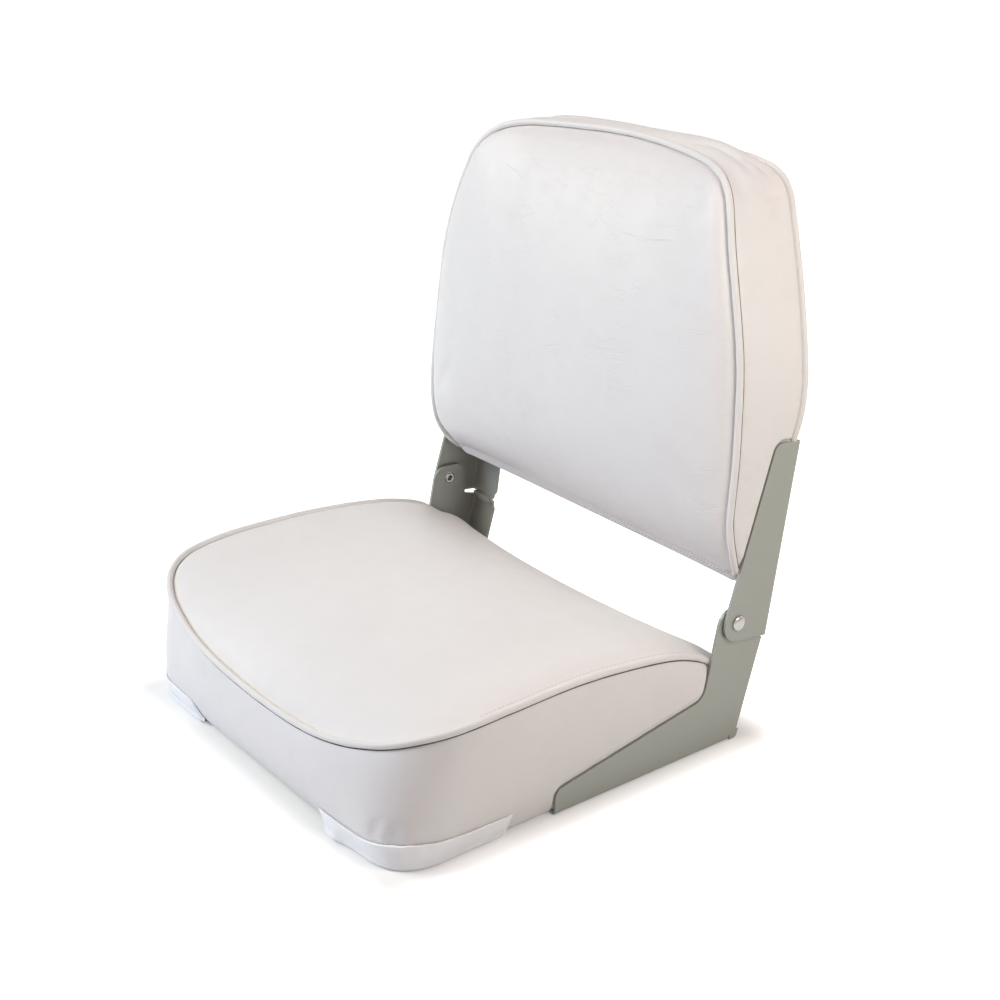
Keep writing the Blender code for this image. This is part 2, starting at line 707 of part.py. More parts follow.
def inset_profile(profile, normal, first_wall, seam_place, slack):
    """The foam's profile inside its cover's: walls move in, the panel moves down."""
    inner = []
    inset = FOAM_INSET * slack
    inward = Vector((-normal[0] * inset, -normal[1] * inset, 0))
    for place in range(first_wall, len(profile)):
        if place < seam_place:
            move = inward
        elif place <= seam_place + 2:
            move = inward + Vector((0, 0, -inset))
        else:
            move = Vector((0, 0, -FOAM_DROP * slack))
        inner.append(profile[place] + move)
    for place in range(seam_place - first_wall - 1, -1, -1):
        inner[place].z = min(inner[place].z, inner[place + 1].z - FOAM_INSET)
    return inner


def at_level(low, high, level):
    """The point between two points of a wall at a given level."""
    return low.lerp(high, (level - low.z) / (high.z - low.z))


def seat_plan(half, front, corner, side_places):
    """Half outline of the seat, front middle to rear middle, with as many points for any size."""
    front_y = PIVOT_Y - front
    points = [((half - corner) * share, front_y) for share in FRONT_WIDTH_SHARES]
    for share in CORNER_ANGLE_SHARES:
        angle = math.pi / 2 * share
        points.append((half - corner + corner * math.sin(angle), front_y + corner - corner * math.cos(angle)))
    points += [(half, y) for y in side_places]
    rear_corner = SEAT_REAR_CORNER
    for share in (CORNER_ANGLE_SHARES[1], CORNER_ANGLE_SHARES[3]):
        angle = math.pi / 2 * share
        points.append((
            SEAT_HALF - rear_corner + rear_corner * math.cos(angle),
            SEAT_REAR_Y - rear_corner + rear_corner * math.sin(angle),
        ))
    points += [((SEAT_HALF - rear_corner) * share, SEAT_REAR_Y) for share in REAR_WIDTH_SHARES]
    return points


def seat_side_places():
    """Stations along the side: in front of the hinge plate, over it, and at the upright's edge."""
    tip = PIVOT_Y - LOWER_REACH - RELIEF_DEPTH / 2
    upright = PIVOT_Y + LOWER_KNEE_Y - GAP
    places = [tip - (tip - (PIVOT_Y - SEAT_SEAM_FRONT + SEAT_SEAM_CORNER)) / 2, tip]
    places += [tip + (upright - tip) * share for share in ARM_PLACE_SHARES]
    places += [upright, upright + SEAT_PIPE_TUCK]
    places.append(PIVOT_Y - SEAT_PIPE_END)
    return places


def arm_height(y):
    """Upper edge of the lower hinge plate's arm over the ground."""
    return LOWER_TIP_HEIGHT + ARM_SLOPE * (y - PIVOT_Y + LOWER_REACH)


def seat_seam(plan, normal, place, side_start, side_end):
    """Piping centre at a station, and the radius of the roll where there is no piping."""
    x, y = plan
    if place > side_end:
        roll = SEAT_CORNER_ROLL if place <= side_end + 2 else SEAT_ROLL
        top = SEAT_REAR_TOP + SEAT_REAR_RISE * (x / SEAT_HALF) ** 2
        pull = roll * (1 - math.cos(ROLL_MIDDLE))
        level = top - roll * (1 - math.sin(ROLL_MIDDLE))
        return x - normal.x * pull, y - normal.y * pull, level, roll
    dip = 0.0
    if place < side_start:
        dip = SEAT_FRONT_DIP * (1 - (x / SEAT_SEAM_HALF) ** 2)
    else:
        x = SEAT_PIPE_END_X + (x - SEAT_PIPE_END_X) * SEAT_TUCK_SHARES[place - side_start]
    drop = 0.0
    ahead = PIVOT_Y - y
    if ahead < SEAT_DROP_START:
        along = (SEAT_DROP_START - ahead) / (SEAT_DROP_START - SEAT_PIPE_END)
        drop = SEAT_REAR_DROP * along ** SEAT_DROP_POWER
    return x, y, SEAT_SEAM_HEIGHT - dip - drop, 0


def seat_stations():
    """Every station round the seat: base points, seam points and their outward directions."""
    sides = seat_side_places()
    base = mirrored_loop(seat_plan(SEAT_HALF, SEAT_FRONT, SEAT_BASE_CORNER, sides))
    plan_half = seat_plan(SEAT_SEAM_HALF, SEAT_SEAM_FRONT, SEAT_SEAM_CORNER, sides)
    plan_normals = outward_normals(mirrored_loop(plan_half))
    side_start = len(FRONT_WIDTH_SHARES) + len(CORNER_ANGLE_SHARES)
    side_end = side_start + len(sides) - 1
    seams = []
    for place, (plan, normal) in enumerate(zip(plan_half, plan_normals)):
        covered = side_start < place <= side_end
        seams.append((*seat_seam(plan, normal, place, side_start, side_end), covered))
    seams = mirrored_loop(seams)
    seam_normals = outward_normals([seam[:2] for seam in seams])
    return base, outward_normals(base), seams, seam_normals


def seat_profiles():
    """Outside profile of the seat cover at every station, from the hem to the last panel ring."""
    base, base_normals, seams, seam_normals = seat_stations()
    pole = Vector((0, PIVOT_Y - SEAT_CROWN_Y, SEAT_CROWN + SEAT_PILLOW))
    edge_turn = SEAT_EDGE * (1 - math.sqrt(0.5))
    profiles = []
    for plan, normal, seam, seam_normal in zip(base, base_normals, seams, seam_normals):
        roll, covered = seam[3:]
        profile = [
            place_point(plan, normal, -HEM, HEM_Z),
            place_point(plan, normal, -SEAT_EDGE, HEM_Z),
            place_point(plan, normal, -edge_turn, HEM_Z + edge_turn),
            place_point(plan, normal, 0, HEM_Z + SEAT_EDGE),
        ]
        seam_row = seam_points(seam, seam_normal)
        foot = profile[-1]
        top = seam_row[0]
        levels = [foot.z + (top.z - foot.z) * share for share in SEAT_WALL_SHARES]
        behind = plan[1] >= PIVOT_Y + LOWER_KNEE_Y - GAP * 2
        if covered:
            at_knee = plan[1] > PIVOT_Y + LOWER_KNEE_Y - LOWER_KNEE_RADIUS
            levels[0] = arm_height(plan[1]) + SEAT_PRESS_RISE + at_knee * LOWER_KNEE_RADIUS / 2
            levels[1] = min(levels[0] + SEAT_FREE_RISE, (levels[0] + top.z) / 2)
            levels[2] = (levels[1] + top.z) / 2
        for place, level in enumerate(levels):
            share = (level - foot.z) / (top.z - foot.z)
            bulge = SEAT_REAR_BULGE if roll > 0 else SEAT_BULGE
            point = foot.lerp(top, share)
            point += Vector((normal[0], normal[1], 0)) * bulge * BULGE_SHARES[place]
            point.z = level
            if behind or (covered and place == 0):
                point.x = max(-PRESS_X, min(PRESS_X, point.x))
            profile.append(point)
        if behind:
            seam_row[0].x = max(-PRESS_X, min(PRESS_X, seam_row[0].x))
        profiles.append(profile + seam_row)
    add_panels(profiles, pole, SEAT_PILLOW)
    return profiles, base_normals, pole


def back_front_line(u):
    """Front edge of the upper hinge plate at a height, measured to the rear of the pivot."""
    slope = (UPPER_REAR_V - UPPER_TOP_WIDTH - UPPER_EAR_V) / (UPPER_TOP_U - UPPER_EAR_U)
    return UPPER_EAR_V + slope * (u - UPPER_EAR_U)


def back_stations():
    seams = []
    for x_share, u_share, depth_share, roll_share in BACK_SEAM_SHARES:
        level = depth_share * BACK_DEPTH - BACK_SEAM_V
        seams.append((x_share * BACK_HALF, u_share * BACK_TOP, level, roll_share * BACK_ROLL))
    base = [(x_share * BACK_HALF, u_share * BACK_BASE_TOP) for x_share, u_share in BACK_BASE_SHARES]
    first, last = BACK_PLATE_ROWS
    for row in range(first, last):
        base[row] = (min(base[row][0], BACK_PIPE_PRESS_X), base[row][1])
    base[last] = (BACK_PIPE_PRESS_X, UPPER_TOP_U + SEAT_PRESS_RISE)
    seams[last] = (seams[last][0], UPPER_TOP_U + SEAT_PRESS_RISE, seams[last][2], seams[last][3])
    covered = [first <= row <= last for row in range(len(base))]
    base = [(*point, cover) for point, cover in zip(base, covered)]
    return mirrored_loop(base), mirrored_loop(seams)


def back_profiles():
    """Outside profile of the backrest cover at every station, in (x, u, level), level being -v."""
    base, seams = back_stations()
    base_normals = outward_normals([row[:2] for row in base])
    seam_normals = outward_normals([row[:2] for row in seams])
    pole = Vector((0, BACK_CROWN_U, -BACK_CROWN_V + BACK_PILLOW))
    rear = -BACK_SEAM_V
    hem = -BACK_HEM_V
    profiles = []
    for row, normal, seam, seam_normal in zip(base, base_normals, seams, seam_normals):
        plan, covered = row[:2], row[2]
        profile = [
            place_point(plan, normal, -HEM, hem),
            place_point(plan, normal, -LIP_BACK - FOAM_INSET, hem),
            place_point(plan, normal, -LIP_BACK, rear - LIP_OUT),
            place_point(plan, normal, -VALLEY, rear + VALLEY),
            place_point(plan, normal, LIP_OUT, rear + LIP_BACK),
        ]
        seam_row = seam_points(seam, seam_normal)
        foot = profile[-1]
        top = seam_row[0]
        levels = [foot.z + (top.z - foot.z) * share for share in BACK_WALL_SHARES]
        line = -back_front_line(plan[1]) + SEAT_PRESS_RISE
        free = 1.0
        if covered and line < top.z:
            levels[0] = max(line, foot.z + SEAT_PRESS_RISE)
            free = min(1.0, (top.z - levels[0]) / SEAT_FREE_RISE / 2)
            levels[1] = levels[0] + (top.z - levels[0]) / 3
            levels[2] = levels[0] + (top.z - levels[0]) * 2 / 3
        for place, level in enumerate(levels):
            share = (level - foot.z) / (top.z - foot.z)
            point = foot.lerp(top, share)
            bulge = BACK_BULGE + (BACK_TOP_BULGE - BACK_BULGE) * max(0, normal.y)
            point += Vector((normal[0], normal[1], 0)) * bulge * free * BULGE_SHARES[place]
            point.z = level
            if covered and (place == 0 or line >= top.z):
                point.x = max(-BACK_PRESS_X, min(BACK_PRESS_X, point.x))
            profile.append(point)
        if covered:
            foot.x = max(-BACK_PRESS_X, min(BACK_PRESS_X, foot.x))
        profiles.append(profile + seam_row)
    add_panels(profiles, pole, BACK_PILLOW)
    return profiles, base_normals, pole


BACK_AXES = Matrix(((1, 0, 0), (0, 0, -1), (0, 1, 0)))


def cushion_cover(name, profiles, pole, material, axes=None, parent=None):
    """Vinyl cover: an open sack whose hem is turned over the back of its board."""
    if axes is not None:
        profiles = [[axes @ point for point in profile] for profile in profiles]
        pole = axes @ pole
    cover = add_piece(name, loft_mesh(name, profiles, pole), material, parent)
    skin = cover.modifiers.new("vinyl", "SOLIDIFY")
    skin.thickness = VINYL
    skin.offset = -1
    skin.use_even_offset = False
    return cover


def cushion_foam(name, profiles, normals, pole, places, slacks, floor, material, axes=None, parent=None):
    """Foam block inside the cover, flat on its board; places are the first wall ring and the seam."""
    first_wall, seam_place = places
    inner = []
    for profile, normal, slack in zip(profiles, normals, slacks):
        shape = inset_profile(profile, normal, first_wall, seam_place, slack)
        foot = at_level(profile[first_wall - 1], profile[first_wall], floor)
        foot += Vector((-normal[0] * FOAM_INSET * slack, -normal[1] * FOAM_INSET * slack, 0))
        foot.z = floor
        inner.append([foot] + shape)
    low = Vector((0, pole.y, floor))
    high = pole - Vector((0, 0, FOAM_DROP))
    if axes is not None:
        inner = [[axes @ point for point in profile] for profile in inner]
        low, high = axes @ low, axes @ high
    return add_piece(name, loft_mesh(name, inner, high, low), material, parent)


def piping(name, points, material, parent=None):
    """Round welt along a seam."""
    curve = bpy.data.curves.new(name, "CURVE")
    curve.dimensions = "3D"
    curve.bevel_depth = PIPE_RADIUS
    curve.bevel_resolution = PIPE_SIDES_RESOLUTION
    curve.use_fill_caps = True
    spline = curve.splines.new("POLY")
    spline.points.add(len(points) - 1)
    for place, point in zip(spline.points, points):
        place.co = (*point, 1)
    mesh = curve_to_mesh(curve)
    smooth(mesh)
    return add_piece(name, mesh, material, parent)


def protector(name, side, profiles, normals, material):
    """Thin plastic angle wrapped round a front corner: a wall outside and a leaf underneath."""
    first = len(FRONT_WIDTH_SHARES) - 1
    last = len(FRONT_WIDTH_SHARES) + len(CORNER_ANGLE_SHARES)
    shape = bmesh.new()
    rows = []
    reach = PROTECTOR_GAP + PROTECTOR_WALL
    edge_turns = (
        (-PROTECTOR_LEAF, -reach),
        (-SEAT_EDGE * PROTECTOR_TURN_SHARE, -reach),
        (reach * PROTECTOR_CHAMFER_SHARE, -reach * PROTECTOR_CHAMFER_SHARE),
        (reach, SEAT_EDGE * PROTECTOR_TURN_SHARE),
    )
    for place in range(first, last + 1):
        profile, normal = profiles[place], normals[place]
        out = Vector((normal[0], normal[1], 0))
        points = [profile[3] + out * away for away, _ in edge_turns]
        for point, (_, rise) in zip(points, edge_turns):
            point.z = HEM_Z + rise
        for height in (PROTECTOR_HEIGHT / 2, PROTECTOR_HEIGHT):
            points.append(at_level(profile[3], profile[4], HEM_Z + height) + out * reach)
        rows.append([shape.verts.new((side * point.x, point.y, point.z)) for point in points])
    for here, ahead in zip(rows, rows[1:]):
        for level in range(len(here) - 1):
            face = shape.faces.new((here[level], ahead[level], ahead[level + 1], here[level + 1]))
            if side < 0:
                face.normal_flip()
    mesh = bpy.data.meshes.new(name)
    shape.to_mesh(mesh)
    shape.free()
    piece = add_piece(name, mesh, material)
    wall = piece.modifiers.new("wall", "SOLIDIFY")
    wall.thickness = PROTECTOR_WALL
    wall.offset = -1
    wall.use_even_offset = True
    return piece


# Fasteners

def countersunk_profile(length):
    """Flat-headed screw, its head's face at height 0 and its shank running down."""
    return [
        (0, -DRIVE_DEPTH),
        (DRIVE_RADIUS, -DRIVE_DEPTH),
        (DRIVE_RADIUS, 0),
        (SCREW_HEAD_RADIUS, 0),
        (SCREW_RADIUS, -COUNTERSINK_DEPTH),
        (SCREW_RADIUS, -length + SCREW_RADIUS * 2),
        (0, -length),
    ]


def countersunk_clearance(length):
    return [
        (0, OVERRUN),
        (SCREW_HEAD_RADIUS + GAP + OVERRUN, OVERRUN),
        (SCREW_HEAD_RADIUS + GAP, 0),
        (SCREW_RADIUS + GAP, -COUNTERSINK_DEPTH),
        (SCREW_RADIUS + GAP, -length - GAP),
        (0, -length - GAP),
    ]


def pan_profile(length):
    """Pan-headed screw, the underside of its head at height 0."""
    return [
        (0, SCREW_HEAD_HEIGHT - DRIVE_DEPTH),
        (DRIVE_RADIUS, SCREW_HEAD_HEIGHT - DRIVE_DEPTH),
        (DRIVE_RADIUS, SCREW_HEAD_HEIGHT),
        (SCREW_HEAD_RADIUS * SCREW_CROWN_SHARE, SCREW_HEAD_HEIGHT),
        (SCREW_HEAD_RADIUS, SCREW_HEAD_HEIGHT / 2),
        (SCREW_HEAD_RADIUS, 0),
        (SCREW_RADIUS, 0),
        (SCREW_RADIUS, -length + SCREW_RADIUS * 2),
        (0, -length),
    ]


def nut_profile():
    """Mounting nut: flange on top of the board, barrel down through it, open bore."""
    return [
        (NUT_BORE_RADIUS, 0),
        (NUT_FLANGE_RADIUS, 0),
        (NUT_FLANGE_RADIUS, -NUT_FLANGE_THICKNESS),
        (NUT_BARREL_RADIUS, -NUT_FLANGE_THICKNESS),
        (NUT_BARREL_RADIUS, -NUT_BARREL_LENGTH),
        (NUT_BORE_RADIUS, -NUT_BARREL_LENGTH),
    ]


def nut_clearance():
    return [
        (0, OVERRUN),
        (NUT_FLANGE_RADIUS + GAP, OVERRUN),
        (NUT_FLANGE_RADIUS + GAP, -NUT_FLANGE_THICKNESS - GAP),
        (NUT_BARREL_RADIUS + GAP, -NUT_FLANGE_THICKNESS - GAP),
        (NUT_BARREL_RADIUS + GAP, HEM_Z - BOARD_Z - BOARD - OVERRUN),
        (0, HEM_Z - BOARD_Z - BOARD - OVERRUN),
    ]


def build():
    clear_scene()
    vinyl = new_material("white_vinyl", (0.83, 0.81, 0.79), 0.42)
    foam = new_material("foam", (0.80, 0.72, 0.45), 0.95)
    plywood = new_material("plywood", (0.52, 0.36, 0.20), 0.70)
    painted = new_material("grey_painted_metal", (0.30, 0.32, 0.27), 0.45, 0.3)
    nickel = new_material("bright_steel", (0.60, 0.57, 0.53), 0.18, 1.0)
    zinc = new_material("zinc_steel", (0.45, 0.45, 0.44), 0.35, 1.0)
    nylon = new_material("nylon", (0.80, 0.80, 0.76), 0.40)
    plastic = new_material("clear_white_plastic", (0.80, 0.83, 0.88), 0.25)

    pivot = Vector((0, PIVOT_Y, PIVOT_Z))
    backrest = bpy.data.objects.new("backrest_pivot", None)
    PARTS.objects.link(backrest)
    backrest.location = pivot
    backrest.rotation_euler = (-LEAN, 0, 0)

    # Seat: board, foam, cover and piping
    profiles, normals, pole = seat_profiles()
    cushion_cover("seat_cover", profiles, pole, vinyl)
    cushion_foam("seat_foam", profiles, normals, pole, SEAT_RINGS, [1.0] * len(profiles), FOAM_Z, foam)
    base, base_normals, seams, _ = seat_stations()
    board_outline = [
        (x - normal[0] * SEAT_BOARD_INSET, y - normal[1] * SEAT_BOARD_INSET)
        for (x, y), normal in zip(base, base_normals)
    ]
    board = flat_piece("seat_board", board_outline, BOARD_Z + BOARD - HEM_Z, plywood)
    board.location.z = (BOARD_Z + BOARD + HEM_Z) / 2
    # The underside is rebated for the turned-under cover; the mounting face stands level with it.
    face_x = FLANGE_INNER_X - MOUNT_FACE_MARGIN
    face_front = PIVOT_Y - SEAT_FRONT + MOUNT_FACE_INSET
    face_rear = SEAT_REAR_Y - MOUNT_FACE_INSET
    mount_face = rounded_outline([
        (-face_x, face_front, MOUNT_FACE_RADIUS),
        (face_x, face_front, MOUNT_FACE_RADIUS),
        (face_x, face_rear, MOUNT_FACE_RADIUS),
        (-face_x, face_rear, MOUNT_FACE_RADIUS),
    ])
    past_board = [
        (x + normal[0] * OVERRUN, y + normal[1] * OVERRUN)
        for (x, y), normal in zip(base, base_normals)
    ]
    cut(board, rebate_cutter("cut_board_rebate", past_board, mount_face, HEM_Z - OVERRUN, BOARD_Z))
    piped = [seam for seam in seams if seam[3] == 0]
    left = [seam[:3] for seam in piped if seam[0] < 0]
    right = [seam[:3] for seam in piped if seam[0] >= 0]
    piping("seat_piping", left + right, vinyl)

    # Backrest: board, foam, cover, both pipings and the rear panel
    profiles_back, normals_back, pole_back = back_profiles()
    cushion_cover("back_cover", profiles_back, pole_back, vinyl, BACK_AXES, backrest)
    base_back, seams_back = back_stations()
    slacks = [FOAM_TRIM_SHARE if row[2] or seam[3] > 0 else 1.0 for row, seam in zip(base_back, seams_back)]
    cushion_foam(
        "back_foam", profiles_back, normals_back, pole_back, BACK_RINGS, slacks, -BACK_FOAM_V, foam,
        BACK_AXES, backrest
    )
    piped_back = [seam for seam in seams_back if seam[3] == 0]
    front_path = [BACK_AXES @ Vector(seam[:3]) for seam in piped_back]
    piping("back_piping_front", front_path, vinyl, backrest)
    rear_rows = [row for row, seam in zip(base_back, seams_back) if seam[3] == 0]
    rear_path = [(row[0], BACK_SEAM_V, row[1]) for row in rear_rows]
    piping("back_piping_rear", rear_path, vinyl, backrest)
    for name, thickness, inset, v, material in (
        ("back_board", BACK_BOARD, BACK_BOARD_INSET, BACK_BOARD_V - BACK_BOARD / 2, plywood),
        ("back_rear_panel", REAR_PANEL, REAR_PANEL_INSET, BACK_HEM_V + GAP + REAR_PANEL / 2, vinyl),
    ):
        outline = [
            (row[0] - normal[0] * inset, row[1] - normal[1] * inset)
            for row, normal in zip(base_back, normals_back)
        ]
        panel = flat_piece(name, outline, thickness, material, backrest)
        panel.rotation_euler = (math.pi / 2, 0, 0)
        panel.location.y = v
    back_board = PARTS.objects["back_board"]
    rear_panel = PARTS.objects["back_rear_panel"]

    # Hinges, rivets and washers
    grip = UPPER_X - LOWER_INNER_X
    for side, label in ((-1, "left"), (1, "right")):
        facing = (side, 0, 0)
        upper = upper_plate("hinge_upper_" + label, side, painted, backrest)
        lower = lower_plate("hinge_lower_" + label, side, painted, None)
        lower.location = pivot
        rivet_place = (side * UPPER_X, PIVOT_Y, PIVOT_Z)
        turned_piece("pivot_rivet_" + label, rivet_profile(), nickel, rivet_place, facing, steps=ROUND_STEPS)
        hole = hole_profile(RIVET_RADIUS + GAP, OVERRUN, -grip - OVERRUN)
        rivet_hole = turned_cutter("cut_rivet_" + label, hole, rivet_place, facing, steps=ROUND_STEPS)
        cut(upper, rivet_hole)
        cut(lower, rivet_hole)
        washer = [
            (RIVET_RADIUS + GAP, WASHER_THICKNESS),
            (WASHER_RADIUS, WASHER_THICKNESS),
            (WASHER_RADIUS, 0),
            (RIVET_RADIUS + GAP, 0),
        ]
        washer_place = (side * (LOWER_X + GAP), PIVOT_Y, PIVOT_Z)
        turned_piece(
            "pivot_washer_" + label, washer, nylon, washer_place, facing, closed=True, steps=ROUND_STEPS
        )

        screw_x = side * (LOWER_INNER_X - SCREW_INSET)
        for number, share in enumerate(ARM_SCREW_SHARES, 1):
            y = PIVOT_Y - LOWER_REACH + (LOWER_REACH + LOWER_FLANGE_REAR_Y) * share
            name = "seat_screw_%s_%d" % (label, number)
            place = (screw_x, y, GAP)
            turned_piece(name, countersunk_profile(SCREW_LENGTH), zinc, place, (0, 0, -1))
            hole = turned_cutter("cut_" + name, countersunk_clearance(SCREW_LENGTH), place, (0, 0, -1))
            cut(lower, hole)
            cut(board, hole)
        for number, share in enumerate(BACK_SCREW_SHARES, 1):
            name = "back_screw_%s_%d" % (label, number)
            place = (screw_x, UPPER_REAR_V + GAP, UPPER_TOP_U * share)
            turned_piece(name, pan_profile(BACK_SCREW_LENGTH), zinc, place, (0, 1, 0), backrest)
            hole_shape = hole_profile(SCREW_RADIUS + GAP, SCREW_HEAD_HEIGHT, -BACK_SCREW_LENGTH - GAP)
            hole = turned_cutter("cut_" + name, hole_shape, place, (0, 1, 0), backrest)
            cut(upper, hole)
            cut(rear_panel, hole)
            cut(back_board, hole)
        protector("corner_protector_" + label, side, profiles, normals, plastic)

    # Mounting nuts in the seat board
    middle_y = (PIVOT_Y - SEAT_FRONT + SEAT_REAR_Y) / 2
    for row_side, row_name in ((-1, "front"), (1, "rear")):
        for side, label in ((-1, "left"), (1, "right")):
            name = "mount_nut_%s_%s" % (row_name, label)
            place = (side * NUT_PITCH / 2, middle_y + row_side * NUT_PITCH / 2, BOARD_Z + BOARD)
            turned_piece(name, nut_profile(), zinc, place, (0, 0, 1), closed=True)
            cut(board, turned_cutter("cut_" + name, nut_clearance(), place, (0, 0, 1)))


PARTS = new_collection("folding_boat_seat")
CUTTERS = new_collection("cutters")
build()
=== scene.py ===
import json
import math

import bmesh
import bpy
import numpy as np
from mathutils import Matrix, Vector


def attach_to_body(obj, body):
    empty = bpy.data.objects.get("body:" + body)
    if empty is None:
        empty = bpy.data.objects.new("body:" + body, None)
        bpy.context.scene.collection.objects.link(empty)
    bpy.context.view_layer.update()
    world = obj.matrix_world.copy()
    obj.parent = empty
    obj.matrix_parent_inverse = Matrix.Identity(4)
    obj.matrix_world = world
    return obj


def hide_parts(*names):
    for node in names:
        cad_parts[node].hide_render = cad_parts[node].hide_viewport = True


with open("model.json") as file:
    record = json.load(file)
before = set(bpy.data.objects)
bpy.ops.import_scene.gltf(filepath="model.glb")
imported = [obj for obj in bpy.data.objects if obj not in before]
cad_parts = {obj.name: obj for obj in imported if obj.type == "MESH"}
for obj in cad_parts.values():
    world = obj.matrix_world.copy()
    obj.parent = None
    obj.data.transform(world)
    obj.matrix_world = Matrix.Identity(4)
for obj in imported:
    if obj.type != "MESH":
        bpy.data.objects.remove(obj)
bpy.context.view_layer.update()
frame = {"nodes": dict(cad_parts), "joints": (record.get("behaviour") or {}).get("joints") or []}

# World frame in metres: +Z up, the sitter faces -Y, the origin on the ground under the middle of the seat.
# Shapes are worked out in millimetres.
MM = 0.001
PIVOT = np.round(np.array(frame["joints"][0]["pos_m"]) / MM, 3)
LEAN = math.radians(9.0)

# The photograph's camera: its direction and distance from the pivot, and how far the pivot lies off its axis
AZIMUTH, ELEVATION = math.radians(52.388), math.radians(22.7225)
DISTANCE = 1.52233
FOCAL = 1.71054
OFF_AXIS = (-0.0779597, 0.0422739)
SENSOR = 36


def add_object(name, data):
    made = bpy.data.objects.new(name, data)
    bpy.context.scene.collection.objects.link(made)
    return made


def make_camera():
    back = Vector((
        math.sin(AZIMUTH) * math.cos(ELEVATION),
        -math.cos(AZIMUTH) * math.cos(ELEVATION),
        math.sin(ELEVATION),
    ))
    right = Vector((math.cos(AZIMUTH), math.sin(AZIMUTH), 0))
    up = back.cross(right)
    data = bpy.data.cameras.new("camera")
    data.sensor_width = SENSOR
    data.lens = SENSOR * FOCAL
    data.clip_start, data.clip_end = 0.05, 30
    camera = add_object("camera", data)
    camera.matrix_world = Matrix((right, up, back)).transposed().to_4x4()
    aside = (right * OFF_AXIS[0] + up * OFF_AXIS[1]) / FOCAL
    camera.location = Vector(PIVOT * MM) + (back + aside) * DISTANCE
    bpy.context.scene.camera = camera


# Curves and outlines

def unit(vectors):
    return vectors / np.linalg.norm(vectors, axis=-1, keepdims=True)


def path_lengths(path):
    return np.concatenate([[0], np.cumsum(np.linalg.norm(np.diff(path, axis=0), axis=1))])


def half_knots(rows, columns):
    return path_lengths(rows[:, columns])


def read_off(path, knots, wanted):
    """The columns of a path, read off in straight lines at the wanted knot values."""
    return np.stack([np.interp(wanted, knots, column) for column in path.T], 1)


def respaced(path, step):
    total = path_lengths(path)
    return read_off(path, total, np.linspace(0, total[-1], max(2, round(total[-1] / step) + 1)))


def resample(rows, knots, wanted):
    """Smooth curve through rows of numbers, read off at the wanted knot values."""
    step = np.diff(knots)[:, None]
    slope = np.diff(rows, axis=0) / step
    tangent = np.empty_like(rows)
    tangent[1:-1] = (slope[:-1] * step[1:] + slope[1:] * step[:-1]) / (step[1:] + step[:-1])
    tangent[0], tangent[-1] = 0, 0
    wanted = np.clip(wanted, knots[0], knots[-1])
    place = np.clip(np.searchsorted(knots, wanted, side="right") - 1, 0, len(knots) - 2)
    width, here = step[place], rows[place]
    t = (wanted - knots[place])[:, None] / width
    bend = tangent[place] * (1 - t) - tangent[place + 1] * t
    return here + (rows[place + 1] - here) * t * t * (3 - 2 * t) + bend * width * t * (1 - t)


def rounded(corners, steps=8):
    """Closed outline through corners (a, b, radius)."""
    points = []
    for place, (a, b, radius) in enumerate(corners):
        here = np.array([a, b], float)
        if radius == 0:
            points.append(here)
            continue
        before = unit(np.array(corners[place - 1][:2], float) - here)
        after = unit(np.array(corners[(place + 1) % len(corners)][:2], float) - here)
        half = math.acos(np.clip(before @ after, -1, 1)) / 2
        reach = radius / math.tan(half)
        centre = here + unit(before + after) * radius / math.sin(half)
        first = here + before * reach - centre
        last = here + after * reach - centre
        turn = math.atan2(first[0] * last[1] - first[1] * last[0], first @ last)
        for angle in np.linspace(0, turn, steps + 1):
            c, s = math.cos(angle), math.sin(angle)
            points.append(centre + np.array([c * first[0] - s * first[1], s * first[0] + c * first[1]]))
    return np.array(points)


def outside_distance(points, outline):
    """Distance of 2D points from a closed outline, negative inside it."""
    a, b = outline, np.roll(outline, -1, axis=0)
    ab = b - a
    length = np.maximum((ab ** 2).sum(1), 1e-12)
    t = np.clip(((points[:, None] - a) * ab).sum(2) / length, 0, 1)
    gap = np.linalg.norm(points[:, None] - (a + ab * t[..., None]), axis=2).min(1)
    x, y = points[:, :1], points[:, 1:]
    crosses = ((a[:, 1] > y) != (b[:, 1] > y))
    safe = np.where(b[:, 1] == a[:, 1], 1e-9, b[:, 1] - a[:, 1])
    hit = x < (b[:, 0] - a[:, 0]) * (y - a[:, 1]) / safe + a[:, 0]
    inside = (crosses & hit).sum(1) % 2 == 1
    return np.where(inside, -gap, gap)


# Outlines of the hinge plates in millimetres from the pivot, as they lie against the cushions
LOWER_PLATE = rounded([
    (-185.5, -112, 0), (12, -112, 0), (34, -24.9, 0), (18.5, -20.5, 1.5), (18.5, 12.5, 13),
    (-15.4, 12.5, 13), (-31.1, -61.3, 15), (-185.5, -88.3, 8),
])
UPPER_PLATE = rounded([
    (-17.3, -16.5, 15), (40, -15.1, 0), (40, 150.3, 0), (8.8, 150.3, 9),
])

# Where a plate lies, the cushion's side stays this far out; along the plate's edge it has a groove, and
# beyond the edge it swells out again in a quarter circle that goes over into a slope.
SEAT_FLANK, BACK_FLANK = 193.9, 197.6
GROOVE_DEPTH, GROOVE_AT, GROOVE_WIDTH = 3.2, 0.7, 1.0
SWELL_FROM, SWELL_RADIUS, SWELL_SLOPE = 1.8, 5.0, 1.2


